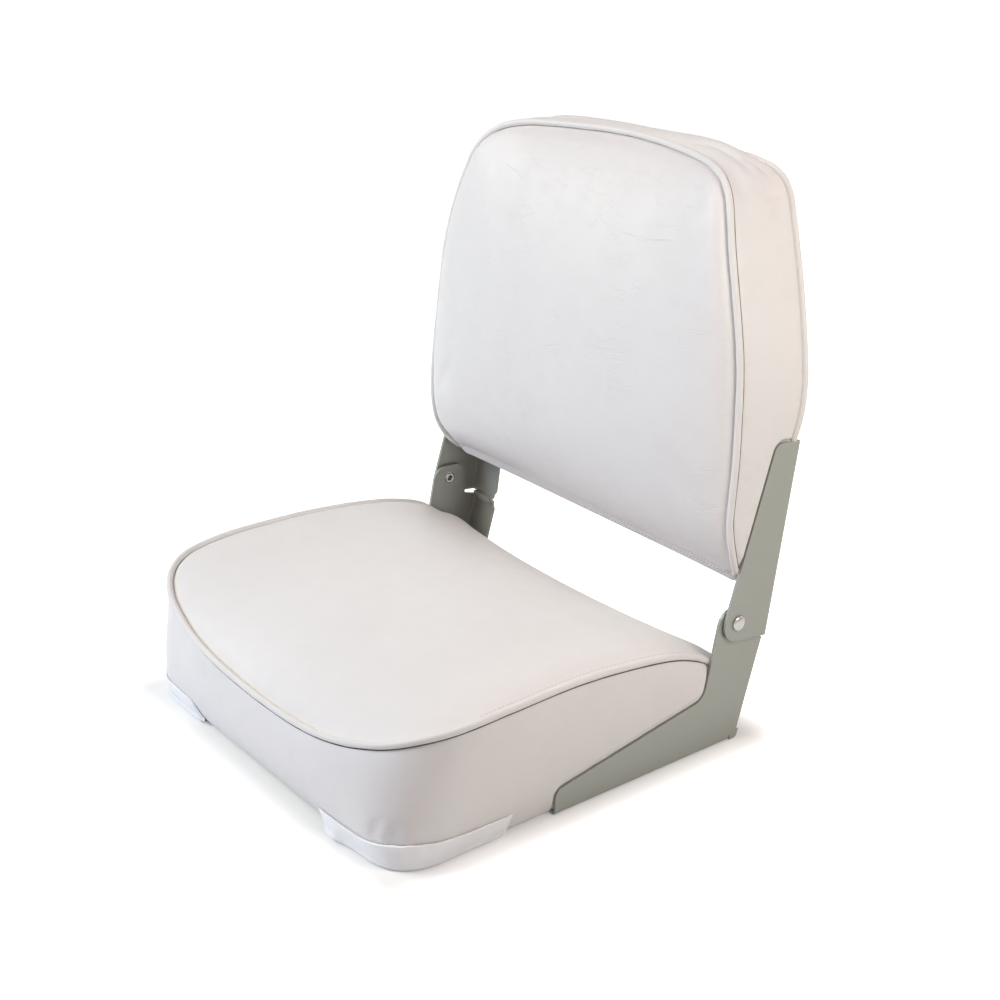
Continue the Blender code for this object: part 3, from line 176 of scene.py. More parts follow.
def pressed(points, gap, flank):
    """Draws a cushion's sides in behind the plates and lets them swell past the plates' edges."""
    beyond = gap - SWELL_FROM
    near = np.clip(beyond, 0, SWELL_RADIUS)
    limit = flank - GROOVE_DEPTH * np.exp(-((gap - GROOVE_AT) / GROOVE_WIDTH) ** 2)
    limit += np.sqrt(np.clip(2 * SWELL_RADIUS * near - near ** 2, 0, None))
    limit += np.clip(beyond - SWELL_RADIUS, 0, None) * SWELL_SLOPE
    points[:, 0] = np.sign(points[:, 0]) * np.minimum(np.abs(points[:, 0]), limit)
    return points


def seat_gap(points):
    return outside_distance(points[:, 1:] - PIVOT[1:], LOWER_PLATE)


def back_gap(points):
    return outside_distance(np.stack([-points[:, 2], points[:, 1]], axis=1), UPPER_PLATE)


def back_to_world(points):
    """(x, height along the backrest, forward) from the pivot into the world, millimetres."""
    points = np.atleast_2d(points)
    v, u = -points[:, 2], points[:, 1]
    y = v * math.cos(LEAN) + u * math.sin(LEAN)
    z = -v * math.sin(LEAN) + u * math.cos(LEAN)
    return np.stack([points[:, 0], y, z], axis=1) + PIVOT


# Rows run round the right half, from the middle of one edge to the middle of the other: the seam's place
# across, along and up, the bottom edge's place across and along, and, where no piping holds the edge,
# how far below it the wall starts to roll inwards.
def rows_of(*rows):
    return np.array([(*row, 0)[:6] for row in rows], float)


SEAT_ROWS = rows_of(
    (0, -207, 68.5, 0, -206.5), (35, -207.3, 69.8, 35, -206.5), (68.8, -207.7, 73.2, 69, -206.5),
    (102.5, -206.5, 78.5, 102.5, -206.5), (131.7, -202.9, 85.3, 131.7, -206.5),
    (147.8, -200, 90.3, 149, -206.5), (161.5, -195.5, 94.5, 163.5, -206.4),
    (176.3, -187.5, 100, 178.5, -202.5), (189, -174.5, 105, 189.5, -191.5),
    (196.6, -159.5, 108, 193.4, -176.5), (200.4, -140, 110.2, 193.5, -150),
    (201.7, -118.5, 111.9, 193.5, -122), (201.8, -95.5, 112.6, 193.5, -97), (200.9, -71.5, 112.8, 193.5, -72),
    (200.3, -46.5, 112.6, 193.5, -46.5), (199.8, -21.5, 111.2, 193.5, -21.5), (199.8, 3.5, 109, 193.5, 3.5),
    (199.6, 30.5, 105.6, 193.5, 30.5), (199.4, 51.5, 102, 193.5, 51.5), (199, 67.5, 97.5, 193.5, 67.5),
    (197.4, 82, 91.2, 193.5, 82), (194, 93.1, 84.8, 193.5, 93.1), (191.2, 100, 79.8, 193.5, 100),
    (190, 104.5, 77.6, 193.2, 109.5, 9), (186.6, 109.6, 77.8, 191.2, 121, 17),
    (179, 113, 78.6, 182.4, 131.2, 24), (165, 114.8, 78.6, 166, 132.8, 27.5),
    (140, 115.2, 76.2, 140, 132.8, 31), (90, 115.2, 72, 90, 132.8, 35.8), (45, 115.2, 69.8, 45, 132.8, 38.2),
    (0, 115.2, 69.1, 0, 132.8, 39.1),
)
BACK_ROWS = rows_of(
    (0, 48.7, 17, 0, 34, 10.8), (75, 48.7, 17, 75, 34, 10.8), (128, 47.8, 15.6, 128, 34, 10.2),
    (158, 45.6, 12.4, 158, 34, 8.6), (176, 42.4, 7.8, 175, 34, 6.2), (187, 38.6, 4.2, 185, 34.4, 4),
    (192.6, 40.5, 5, 190.6, 39.5), (196.8, 50, 13, 192.8, 51), (199, 60, 19.2, 194.4, 62),
    (199, 70, 23.5, 194.8, 71), (198.6, 86, 28, 195, 87), (198.7, 106.8, 30.6, 195, 107),
    (198.4, 131, 32.4, 195.5, 131), (197.2, 152, 34, 197.5, 150), (195.6, 171, 35.4, 200.2, 169),
    (193.2, 198, 37.7, 199, 196), (190.7, 217, 39.6, 194.5, 216), (186.3, 239, 42, 188, 238),
    (178.3, 268, 44, 178, 268), (167.4, 300, 44.3, 166.8, 298), (159.6, 320.5, 42.6, 157, 322),
    (150.2, 334.8, 38.6, 149, 339), (139.4, 343.8, 34.4, 139, 348.6), (127.6, 348.8, 29.8, 127, 354),
    (114, 352.2, 24.6, 113, 356.6), (92.3, 354.8, 16.9, 92, 358.6), (61.5, 357.2, 9.8, 61.5, 360),
    (30, 359.2, 6.2, 30, 361.2), (0, 360, 5, 0, 361.5),
)

# Beside the piping's centre, outwards and upwards: how the boxing and the panel meet under it
SEAT_CREASE = ((1.3, -4.6), (0.15, -3.4), (-1.7, -2.4), (-3.0, -1.5), (-4.0, -0.1))
BACK_CREASE = ((1.3, -4.6), (0.15, -3.4), (-1.7, -2.4), (-2.9, -1.1), (-3.6, 1.3))
PIPE_RADIUS = 2.75
CREASE_RINGS = len(SEAT_CREASE)
# Where nothing is piped: how far in and how far up each of those rings lies between base and panel edge
SEAT_ROLL = [((1 - math.sin(math.radians(a))) / (1 - math.sin(math.radians(65))),
              math.cos(math.radians(a)) / math.cos(math.radians(65))) for a in (88, 82, 76, 70, 65)]
BACK_ROLL = [(0.503 + 0.497 * share, share) for share in (0, 0.25, 0.5, 0.75, 1)]


# Soft folds pressed into a finished cover: a line, how deep and how wide. Those of the backrest lie along
# the boxing round its top corners and beside the plates, where the vinyl is gathered.
BACK_FOLDS = (
    (((66, 361, 0), (84, 361, -3), (96, 361, -3), (107, 359, -1), (121, 357, 1), (134, 351, 5),
      (140, 346, 9)), 2.8, 4.2),
    (((110, 360, -4), (119, 359, -6), (130, 356, -8), (141, 351, -10), (149, 343, -13),
      (156, 333, -15)), 2.0, 4.2),
    (((124, 352, 13), (138, 344, 22), (149, 335, 27), (159, 321, 31)), 1.7, 6.0),
    (((203, 135, 8), (202, 124, 14), (201, 114, 18), (200, 101, 23), (199, 92, 25)), 2.4, 4.5),
    (((202, 100, 3), (201, 94, 9), (200, 86, 14), (200, 77, 15)), 1.8, 4.0),
    (((201, 76, 6), (200, 69, 9), (200, 60, 9)), 1.3, 3.5),
)
SEAT_FOLDS = (
    (((164, -214, 22), (170, -214, 32), (176, -212, 44)), 1.6, 4.5),
    (((184, -208, 22), (187, -206, 32), (189, -203, 42)), 1.3, 4.5),
)
FOLD_STEP = 2.0
FOLD_REACH = 70
FOLD_FADE = 0.6


def stations(rows, corner_a, corner_b, across, along):
    """Full loop of stations: across of them on each half end edge and along of them on each side."""
    knots = (half_knots(rows, [0, 1]) + half_knots(rows, [3, 4])) / 2
    at = np.interp([corner_a, corner_b], np.arange(len(knots)), knots)
    wanted = np.concatenate([
        np.linspace(0, at[0], across + 1)[:-1],
        np.linspace(at[0], at[1], along + 1)[:-1],
        np.linspace(at[1], knots[-1], across + 1),
    ])
    half = resample(rows, knots, wanted)
    mirror = half[1:-1][::-1].copy()
    mirror[:, [0, 3]] *= -1
    return np.concatenate([half, mirror])


def loop_normals(loop):
    along = unit(np.roll(loop, -1, axis=0) - np.roll(loop, 1, axis=0))
    return np.stack([along[:, 1], -along[:, 0]], axis=1)


def smooth_loop(values, passes):
    for _ in range(passes):
        values = (np.roll(values, 1, axis=0) + 2 * values + np.roll(values, -1, axis=0)) / 4
    return values


def coons(loop, across, along):
    """Grid over a closed loop, row by row from its first edge, and which loop point each border point is."""
    wide, high = 2 * across, along
    total = len(loop)
    index = -np.ones((high + 1, wide + 1), int)
    first = [(place - across) % total for place in range(wide + 1)]
    right = [across + place for place in range(high + 1)]
    top = [across + high + (wide - place) for place in range(wide + 1)]
    left = [(-across - place) % total for place in range(high + 1)]
    index[0, :], index[-1, :], index[:, -1], index[:, 0] = first, top, right, left
    low, far, east, west = loop[first], loop[top], loop[right], loop[left]
    s = np.linspace(0, 1, wide + 1)[None, :, None]
    t = np.linspace(0, 1, high + 1)[:, None, None]
    grid = (1 - t) * low[None] + t * far[None] + (1 - s) * west[:, None] + s * east[:, None]
    grid -= ((1 - s) * (1 - t) * low[0] + s * (1 - t) * low[-1] + (1 - s) * t * far[0] + s * t * far[-1])
    return grid, index


def crowned(grid, middle_line, pillow, across_power):
    """Raises a panel: its middle line follows a profile, its edges stay put and it puffs up beside them.

    pillow: the puff's height, the distance over which it rises beside a piped edge and beside the open
    edge, and whether the open edge is the first row.
    """
    puff, reach, open_reach, open_first = pillow
    rows, columns = grid.shape[:2]
    a = np.abs(np.linspace(-1, 1, columns))[None, :]
    middle = grid[:, columns // 2]
    sides = (grid[:, 0, 2] + grid[:, -1, 2]) / 2
    half_width = (grid[:, -1, 0] - grid[:, 0, 0])[:, None] / 2
    from_side = 1 - np.exp(-(1 - a) * half_width / reach)
    from_first, from_last = middle[:, 1] - middle[0, 1], middle[-1, 1] - middle[:, 1]
    reaches = (open_reach, reach) if open_first else (reach, open_reach)
    from_ends = (1 - np.exp(-from_first / reaches[0])) * (1 - np.exp(-from_last / reaches[1]))
    lift = middle_line(middle[:, 1]) - puff * from_ends - sides
    lift[[0, -1]] = middle[[0, -1], 2] - sides[[0, -1]]
    dip = sides - middle[:, 2] + np.minimum(lift, 0)
    grid[..., 2] += dip[:, None] * (1 - a ** 2.1) + np.maximum(lift, 0)[:, None] * (1 - a ** across_power)
    grid[..., 2] += puff * from_ends[:, None] * from_side
    return grid


def ring_faces(rings, around, start=0):
    """Faces between neighbouring rings of so many points each."""
    return [(low + corner, low + after, low + around + after, low + around + corner)
            for low in range(start, start + (rings - 1) * around, around)
            for corner, after in zip(range(around), (*range(1, around), 0))]


def join_rings(rings, caps):
    """Mesh of rings of equal length joined in order, closed at each end by a grid of the same loop."""
    count = len(rings[0])
    vertices = list(np.concatenate(rings))
    faces = ring_faces(len(rings), count)
    groups = [np.full(count, ring) for ring in range(len(rings))]
    for which, (ring, grid, index) in enumerate(caps):
        numbers, inner = index + ring * count, index < 0
        numbers[inner] = len(vertices) + np.arange(inner.sum())
        vertices += list(grid[inner])
        groups.append(np.full(inner.sum(), -1 - which))
        corners = (numbers[:-1, :-1], numbers[:-1, 1:], numbers[1:, 1:], numbers[1:, :-1])
        quads = np.stack(corners, -1).reshape(-1, 4)
        faces += list(quads if which == 0 else quads[:, ::-1])
    return np.array(vertices), faces, np.concatenate(groups)


def new_object(name, vertices, faces):
    mesh = bpy.data.meshes.new(name)
    points = [tuple(point) for point in np.asarray(vertices) * MM]
    mesh.from_pydata(points, [], [tuple(map(int, face)) for face in faces])
    mesh.validate()
    mesh.shade_smooth()
    return add_object(name, mesh)


def get_points(piece):
    flat = np.empty(len(piece.data.vertices) * 3)
    piece.data.vertices.foreach_get("co", flat)
    return flat.reshape(-1, 3) / MM


def set_points(piece, points):
    piece.data.vertices.foreach_set("co", (np.asarray(points) * MM).ravel())
    piece.data.update()


def rings_of(loop, hem, walls, bulge, crease, roll):
    """The rings of a cushion from its hidden inside round the hem and up the wall to the panel's edge."""
    seam, base, depth = loop[:, :3], loop[:, 3:5], loop[:, 5:6]
    base_out = smooth_loop(loop_normals(base), 2)
    seam_out = smooth_loop(loop_normals(seam[:, :2]), 2)
    rings = [np.column_stack([base + base_out * away, np.full(len(base), level)]) for away, level in hem]
    foot = rings[-1]
    rolled = np.clip((depth - 1) / 4, 0, 1)
    edge = []
    for (out, rise), (inwards, height) in zip(crease, roll):
        piped = np.column_stack([seam[:, :2] + seam_out * out, seam[:, 2] + rise])
        plain = np.column_stack([base * (1 - inwards) + seam[:, :2] * inwards,
                                 seam[:, 2:] - depth * (1 - height)])
        edge.append(piped * (1 - rolled) + plain * rolled)
    top = edge[0]
    for share in walls:
        point = foot * (1 - share) + top * share
        swell = bulge(share, loop, base_out, rolled[:, 0])
        point[:, :2] += (base_out * (1 - share) + seam_out * share) * swell[:, None]
        rings.append(point)
    return rings + edge


CLOTH_SETTINGS = {
    "quality": 6, "mass": 0.3, "tension_stiffness": 12, "compression_stiffness": 12, "shear_stiffness": 4,
    "bending_stiffness": 1.5, "tension_damping": 8, "compression_damping": 8, "air_damping": 2,
    "use_pressure": True, "uniform_pressure_force": 3.0, "vertex_group_mass": "held", "pin_stiffness": 5,
}
CLOTH_FRAMES = 20
CLOTH_CAP = 4.0


def cloth(piece, pins):
    """Lets the cover swell under a little inside pressure, held where it is sewn or pressed."""
    scene = bpy.context.scene
    group = piece.vertex_groups.new(name="held")
    for number, weight in enumerate(pins):
        if weight > 0:
            group.add([number], float(weight), "REPLACE")
    before = get_points(piece)
    cover = piece.modifiers.new("cloth", "CLOTH")
    for key, value in CLOTH_SETTINGS.items():
        setattr(cover.settings, key, value)
    cover.settings.effector_weights.gravity = 0
    cover.collision_settings.use_collision = False
    cover.collision_settings.use_self_collision = False
    cover.point_cache.frame_start = 1
    cover.point_cache.frame_end = CLOTH_FRAMES
    for step in range(CLOTH_FRAMES):
        scene.frame_set(step + 1)
    evaluated = piece.evaluated_get(bpy.context.evaluated_depsgraph_get())
    after = np.array([v.co for v in evaluated.data.vertices]) / MM
    piece.modifiers.remove(cover)
    scene.frame_set(1)
    move = after - before
    length = np.linalg.norm(move, axis=1)
    length[length == 0] = 1
    limit = CLOTH_CAP * (1 - np.exp(-length / CLOTH_CAP))
    set_points(piece, before + move * (limit / length)[:, None])


def laid_on(surface, points):
    """Points moved onto a piece's finished surface, and the surface's directions there."""
    evaluated = surface.evaluated_get(bpy.context.evaluated_depsgraph_get())
    found = [evaluated.closest_point_on_mesh(Vector(point) * MM) for point in points]
    return np.array([place for _, place, _, _ in found]) / MM, np.array([normal for _, _, normal, _ in found])


def folded_in(piece, folds):
    """The points of a cushion with soft folds pressed in along their lines, on both sides."""
    points = get_points(piece)
    normals = np.empty(len(points) * 3)
    piece.data.vertices.foreach_get("normal", normals)
    depth = np.zeros(len(points))
    for line, deep, wide in folds:
        for side in (-1, 1):
            path, _ = laid_on(piece, respaced(np.array(line, float) * [side, 1, 1], FOLD_STEP))
            near = np.flatnonzero(np.abs(points - path.mean(axis=0)).max(axis=1) < FOLD_REACH)
            gap = np.linalg.norm(points[near][:, None] - path[None], axis=2)
            fade = np.sin(math.pi * np.linspace(0, 1, len(path)))[gap.argmin(axis=1)] ** FOLD_FADE
            depth[near] += deep * fade * np.exp(-(gap.min(axis=1) / wide) ** 2)
    return points - normals.reshape(-1, 3) * depth[:, None]


# The part of a cushion's mesh that is made finer: how far inside and outside a plate's edge, and how far out
FINER_INSIDE, FINER_OUTSIDE, FINER_FROM_X = -2.5, 9, 184


def finish_cushion(piece, gap_of, flank, folds, placed=None):
    """Subdivides a cushion, more finely beside the plates, folds it and presses it in behind them."""
    finer = piece.modifiers.new("finer", "SUBSURF")
    finer.levels = 1
    smooth = bpy.data.meshes.new_from_object(piece.evaluated_get(bpy.context.evaluated_depsgraph_get()))
    piece.modifiers.remove(finer)
    piece.vertex_groups.clear()
    piece.data = smooth
    points = get_points(piece)
    gap = gap_of(points)
    near = (gap > FINER_INSIDE) & (gap < FINER_OUTSIDE) & (np.abs(points[:, 0]) > FINER_FROM_X)
    shape = bmesh.new()
    shape.from_mesh(smooth)
    shape.verts.ensure_lookup_table()
    edges = [e for e in shape.edges if near[e.verts[0].index] and near[e.verts[1].index]]
    bmesh.ops.subdivide_edges(shape, edges=edges, cuts=2, use_grid_fill=True)
    shape.to_mesh(smooth)
    shape.free()
    points = folded_in(piece, folds)
    points = pressed(points, gap_of(points), flank)
    set_points(piece, points if placed is None else placed(points))
    smooth.shade_smooth()


def outward_faces(piece, weld=False):
    shape = bmesh.new()
    shape.from_mesh(piece.data)
    if weld:
        bmesh.ops.remove_doubles(shape, verts=shape.verts, dist=1e-6)
        bmesh.ops.dissolve_degenerate(shape, edges=shape.edges, dist=1e-7)
    bmesh.ops.recalc_face_normals(shape, faces=shape.faces)
    shape.to_mesh(piece.data)
    shape.free()


def rod_faces(rings, around, start=0):
    """The faces of a row of rings that is closed at both ends."""
    ends = [range(low, low + around) for low in (start, start + (rings - 1) * around)]
    return ring_faces(rings, around, start) + [tuple(ends[0])[::-1], tuple(ends[1])]


def grid_faces(rows, columns, start=0, wrap=False):
    """Faces of points stored row by row; wrap joins the last row to the first."""
    faces = []
    for row in range(rows if wrap else rows - 1):
        for column in range(columns - 1):
            a, b = start + row * columns + column, start + (row + 1) % rows * columns + column
            faces.append((a, b, b + 1, a + 1))
    return faces


def directions(path):
    return unit(np.gradient(path, axis=0))


def circle(side, up, around):
    """Directions round a circle that side and up span."""
    angles = [2 * math.pi * corner / around for corner in range(around)]
    return [side * math.cos(angle) + up * math.sin(angle) for angle in angles]


def tube(name, path, radius, sides=16, wander=0.0):
    """Round welt along a path, with flat ends."""
    path = np.array(path, float)
    along = directions(path)
    side = np.cross(along[0], [0, 0, 1.0])
    if np.linalg.norm(side) < 0.1:
        side = np.cross(along[0], [0, 1.0, 0])
    vertices = []
    for place, (point, ahead) in enumerate(zip(path, along)):
        side = unit(side - ahead * (side @ ahead))
        swing = radius * (1 + wander * math.sin(place * 0.61) * math.sin(place * 0.17 + 1.3))
        vertices += [point + way * swing for way in circle(side, np.cross(side, ahead), sides)]
    made = new_object(name, vertices, rod_faces(len(path), sides))
    outward_faces(made)
    made.data.set_sharp_from_angle(angle=math.radians(60))
    return made


# A stitch from end to end: how far along it and how thick, as shares of its length and radius
STITCH_PROFILE = ((-0.5, 0.15), (-0.42, 0.6), (-0.2, 1.0), (0.2, 1.0), (0.42, 0.6), (0.5, 0.15))
STITCH_SIDES = 6
STITCH_PITCH, STITCH_LENGTH = 3.9, 2.9


def stitches(name, path, outward, radius):
    """A row of thread stitches laid along a path; outward gives the side on which they lie."""
    total = path_lengths(path)
    wanted = np.arange(STITCH_PITCH, total[-1] - STITCH_PITCH, STITCH_PITCH)
    points = read_off(path, total, wanted)
    ahead = unit(read_off(path, total, wanted + 0.5) - points)
    vertices, faces = [], []
    for point, along, normal in zip(points, ahead, read_off(outward, total, wanted)):
        normal = unit(normal - along * (normal @ along))
        faces += rod_faces(len(STITCH_PROFILE), STITCH_SIDES, len(vertices))
        for run, wide in STITCH_PROFILE:
            for way in circle(np.cross(along, normal), normal, STITCH_SIDES):
                vertices.append(point + along * run * STITCH_LENGTH + way * radius * wide)
    made = new_object(name, vertices, faces)
    outward_faces(made)
    return made


def lathe(name, profile, place, facing, steps=48):
    """Round solid from (radius, height) points, its height pointing along facing."""
    angles = [2 * math.pi * step / steps for step in range(steps)]
    vertices = [(radius * math.cos(angle), radius * math.sin(angle), height)
                for angle in angles for radius, height in profile]
    turn = np.array(Vector((0, 0, 1)).rotation_difference(Vector(facing)).to_matrix())
    made = new_object(name, np.array(vertices) @ turn.T + place, grid_faces(steps, len(profile), wrap=True))
    outward_faces(made, weld=True)
    made.data.shade_smooth()
    made.data.set_sharp_from_angle(angle=math.radians(40))
    return made


# Materials. Their patterns lie in object coordinates in metres, so a noise scale of 1000 / n gives spots of
# about n millimetres.

def plug(tree, node, values):
    """Sets a node's inputs, and links those whose value is another node's output."""
    for name, value in values.items():
        if isinstance(value, bpy.types.NodeSocket):
            tree.links.new(value, node.inputs[name])
        else:
            node.inputs[name].default_value = value


def new_node(tree, kind, values, **settings):
    made = tree.nodes.new("ShaderNode" + kind)
    for name, value in settings.items():
        setattr(made, name, value)
    plug(tree, made, values)
    return made


def node_material(name):
    made = bpy.data.materials.new(name)
    made.use_nodes = True
    return made, made.node_tree, made.node_tree.nodes["Principled BSDF"]


def noise(tree, coordinates, scale, detail, roughness, distortion=0.0):
    values = {"Vector": coordinates, "Scale": scale, "Detail": detail, "Roughness": roughness}
    return new_node(tree, "TexNoise", {**values, "Distortion": distortion}).outputs["Fac"]


def ramp(tree, value, low=0.3, high=0.7, out_low=0.0, out_high=1.0):
    return new_node(tree, "MapRange", {
        "Value": value, "From Min": low, "From Max": high, "To Min": out_low, "To Max": out_high,
    }, interpolation_type="SMOOTHSTEP").outputs["Result"]


def math_node(tree, operation, *values):
    return new_node(tree, "Math", dict(enumerate(values)), operation=operation).outputs[0]


def mapped(tree, scale=(1, 1, 1), rotation=(0, 0, 0)):
    place = new_node(tree, "TexCoord", {}).outputs["Object"]
    values = {"Vector": place, "Scale": scale, "Rotation": rotation}
    return new_node(tree, "Mapping", values).outputs["Vector"]


def mix_colour(tree, factor, a, b):
    a, b = ((*value, 1) if isinstance(value, tuple) else value for value in (a, b))
    # a Mix node's colour sockets come after its number and vector sockets
    return new_node(tree, "Mix", {0: factor, 6: a, 7: b}, data_type="RGBA").outputs[2]


def scaled(colour, share):
    return tuple(min(1, c * share) for c in colour)


def bump(tree, shader, height, distance, strength, below=None):
    values = {"Height": height, "Distance": distance, "Strength": strength}
    if below is not None:
        values["Normal"] = below
    normal = new_node(tree, "Bump", values).outputs["Normal"]
    plug(tree, shader, {"Normal": normal})
    return normal


def thin_lines(tree, value, width, *strengths):
    """Lines along which a noise passes through its middle value."""
    off = math_node(tree, "ABSOLUTE", math_node(tree, "SUBTRACT", value, 0.5))
    line = ramp(tree, off, 0.0, width, 1.0, 0.0)
    for strength in strengths:
        line = math_node(tree, "MULTIPLY", line, strength)
    return line


def vinyl_material(name, colour, shade, creases=0.0):
    """Marine vinyl: fine pebbled grain, faint hairline creases, and a soft uneven sheen."""
    made, tree, shader = node_material(name)
    plain = mapped(tree)
    fine = noise(tree, plain, 60, 4, 0.6)
    tint = mix_colour(tree, ramp(tree, noise(tree, plain, 7, 3, 0.5)), colour, shade)
    plug(tree, shader, {
        "Base Color": mix_colour(tree, ramp(tree, fine, 0.35, 0.75, 0.0, 0.25), tint, scaled(colour, 0.93)),
        "Roughness": ramp(tree, fine, out_low=0.48, out_high=0.60),
        "Specular IOR Level": 0.42, "Coat Weight": 0.06, "Coat Roughness": 0.35, "Sheen Weight": 0.04,
    })
    # pebbles about a millimetre across
    sway = new_node(tree, "TexNoise", {"Vector": plain, "Scale": 300}).outputs["Color"]
    shrunk = new_node(tree, "VectorMath", {0: sway, "Scale": 0.0012}, operation="SCALE").outputs[0]
    warped = new_node(tree, "VectorMath", {0: plain, 1: shrunk}, operation="ADD").outputs[0]
    cells = new_node(tree, "TexVoronoi", {
        "Vector": warped, "Scale": 820, "Smoothness": 0.6, "Randomness": 1.0,
    }, feature="SMOOTH_F1")
    pebble = bump(tree, shader, cells.outputs["Distance"], 0.00014, 0.5)
    grain = bump(tree, shader, noise(tree, plain, 170, 5, 0.62), 0.00034, 0.55, pebble)
    if creases > 0:
        # fine wavy creases that run mostly across, broken into short lengths and gathered in loose patches
        across = mapped(tree, (0.34, 0.34, 1.0), (0.12, 0.05, 0.3))
        slanting = mapped(tree, (0.5, 0.5, 1.0), (0.2, 0.4, 0.1))
        breaks = ramp(tree, noise(tree, plain, 48, 2, 0.5), 0.44, 0.56)
        some = ramp(tree, noise(tree, plain, 31, 2, 0.5), 0.46, 0.60, 0.0, 0.75)
        line = thin_lines(tree, noise(tree, across, 24, 4, 0.62, 0.6), 0.016, breaks)
        short = thin_lines(tree, noise(tree, slanting, 55, 4, 0.6, 0.8), 0.022, some)
        patches = ramp(tree, noise(tree, plain, 11, 2, 0.5), 0.44, 0.58)
        crease = math_node(tree, "MULTIPLY", math_node(tree, "MAXIMUM", line, short), patches)
        folded = bump(tree, shader, crease, -0.00030 * creases, 0.8, grain)
        swell = noise(tree, mapped(tree, (0.7, 0.7, 1.2)), 26, 3, 0.5)
        bump(tree, shader, swell, 0.0010 * creases, 0.2, folded)
    return made


# Noises as (stretch, scale, detail, roughness, distortion), the last where there is one
EVEN = (1, 1, 1)
STREAK = ((1, 1, 14), 260, 4, 0.6)
SMEAR = (EVEN, 900, 4, 0.6)
SPECK = (EVEN, 200, 4, 0.6)
CLOUD = (EVEN, 22, 3, 0.5)
WOOD_GRAIN = ((1, 14, 3), 16, 6, 0.65, 0.6)


def patterned(name, colour, shade, tint, rough, bumps, values, low=0.3, edge_wear_and_highlight=None):
    """A look whose colour runs from colour to shade along the noise tint; rough: a noise and the roughness it
    goes between; bumps: noises with their distance and strength; edge_wear_and_highlight: the brighter colour
    of its edges, partly wear and partly a painted highlight."""
    made, tree, shader = node_material(name)

    def pattern(stretch, *numbers):
        return noise(tree, mapped(tree, stretch), *numbers)

    tinted = mix_colour(tree, ramp(tree, pattern(*tint), low), colour, shade)
    if edge_wear_and_highlight:
        # edges painted brighter: partly worn, thinner paint, partly a painted highlight where light catches
        # the sheet's edges
        edges = new_node(tree, "NewGeometry", {}).outputs["Pointiness"]
        tinted = mix_colour(tree, ramp(tree, edges, 0.505, 0.56), tinted, edge_wear_and_highlight)
    plug(tree, shader, {"Base Color": tinted, **values})
    if rough:
        plug(tree, shader, {"Roughness": ramp(tree, pattern(*rough[0]), out_low=rough[1], out_high=rough[2])})
    below = None
    for numbers, distance, strength in bumps:
        below = bump(tree, shader, pattern(*numbers), distance, strength, below)
    return made


def bright_material(name, colour, rough, scratch):
    """Bare plated steel with fine streaks."""
    return patterned(name, colour, scaled(colour, 0.88), STREAK, (SMEAR, rough * 0.75, rough * 1.35),
                     [(STREAK, scratch, 0.3)], {"Metallic": 1.0}, low=0.35)


def plain_plastic(name, colour, rough):
    return patterned(name, colour, scaled(colour, 0.93), SPECK, (SPECK, rough * 0.85, rough * 1.15),
                     [(SPECK, 0.0001, 0.3)], {})


make_camera()

WHITE = (0.80, 0.785, 0.775)
vinyl = vinyl_material("white_vinyl", WHITE, (0.775, 0.755, 0.745), 0.35)
creased = vinyl_material("white_vinyl_creased", WHITE, (0.775, 0.76, 0.755), 1.0)
welt = vinyl_material("vinyl_welt", (0.80, 0.78, 0.76), (0.77, 0.75, 0.73))
# a dark colour of painted shade, for tubes laid in the crevices under the pipings
seam_shadow_paint = plain_plastic("painted_seam_shadow", (0.11, 0.09, 0.08), 0.85)
thread = plain_plastic("thread", (0.62, 0.58, 0.56), 0.7)
hem_thread = plain_plastic("hem_thread", (0.86, 0.85, 0.84), 0.7)
# grey colours of painted shade: beside the front piping on the panel's side, and under the hem stitches
seam_shade = plain_plastic("seam_shade", (0.34, 0.32, 0.31), 0.85)
hem_shade = plain_plastic("hem_shade", (0.52, 0.50, 0.49), 0.8)
# satin baked paint on sheet steel; its edges are painted brighter, partly for thinner paint there and partly
# as a painted highlight along them
PAINT = (0.245, 0.258, 0.229)
paint = patterned(
    "grey_paint", PAINT, scaled(PAINT, 0.94), (EVEN, 14, 3, 0.5), ((EVEN, 420, 3, 0.6), 0.38, 0.48),
    [((EVEN, 650, 2, 0.5), 0.00005, 0.35), ((EVEN, 60, 2, 0.5), 0.0003, 0.12)],
    {"Metallic": 0.1, "Coat Weight": 0.08, "Coat Roughness": 0.3}, edge_wear_and_highlight=scaled(PAINT, 1.35),
)
bright = bright_material("bright_steel", (0.40, 0.385, 0.37), 0.2, 0.0001)
zinc = bright_material("zinc_steel", (0.55, 0.55, 0.54), 0.34, 0.0002)
milky = patterned(
    "milky_plastic", (0.97, 0.98, 1.0), (0.94, 0.95, 0.98), CLOUD, (CLOUD, 0.30, 0.42),
    [((EVEN, 120, 3, 0.5), 0.0002, 0.25)],
    {"Subsurface Weight": 0.12, "Subsurface Radius": (0.004, 0.004, 0.004), "Subsurface Scale": 1.0},
)
plywood = patterned("plywood", (0.50, 0.35, 0.20), (0.33, 0.21, 0.11), WOOD_GRAIN, None,
                    [(WOOD_GRAIN, 0.0003, 0.5)], {"Roughness": 0.68})
panel_vinyl = vinyl_material("rear_panel_vinyl", (0.76, 0.745, 0.735), (0.73, 0.715, 0.705), 0.3)
nylon = plain_plastic("nylon", (0.75, 0.75, 0.71), 0.4)


def dress(piece, material):
    piece.data.materials.clear()
    piece.data.materials.append(material)


def attach(piece, material, body, slot, *nodes):
    dress(piece, material)
    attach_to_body(piece, body)
    if nodes:
        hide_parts(*nodes)


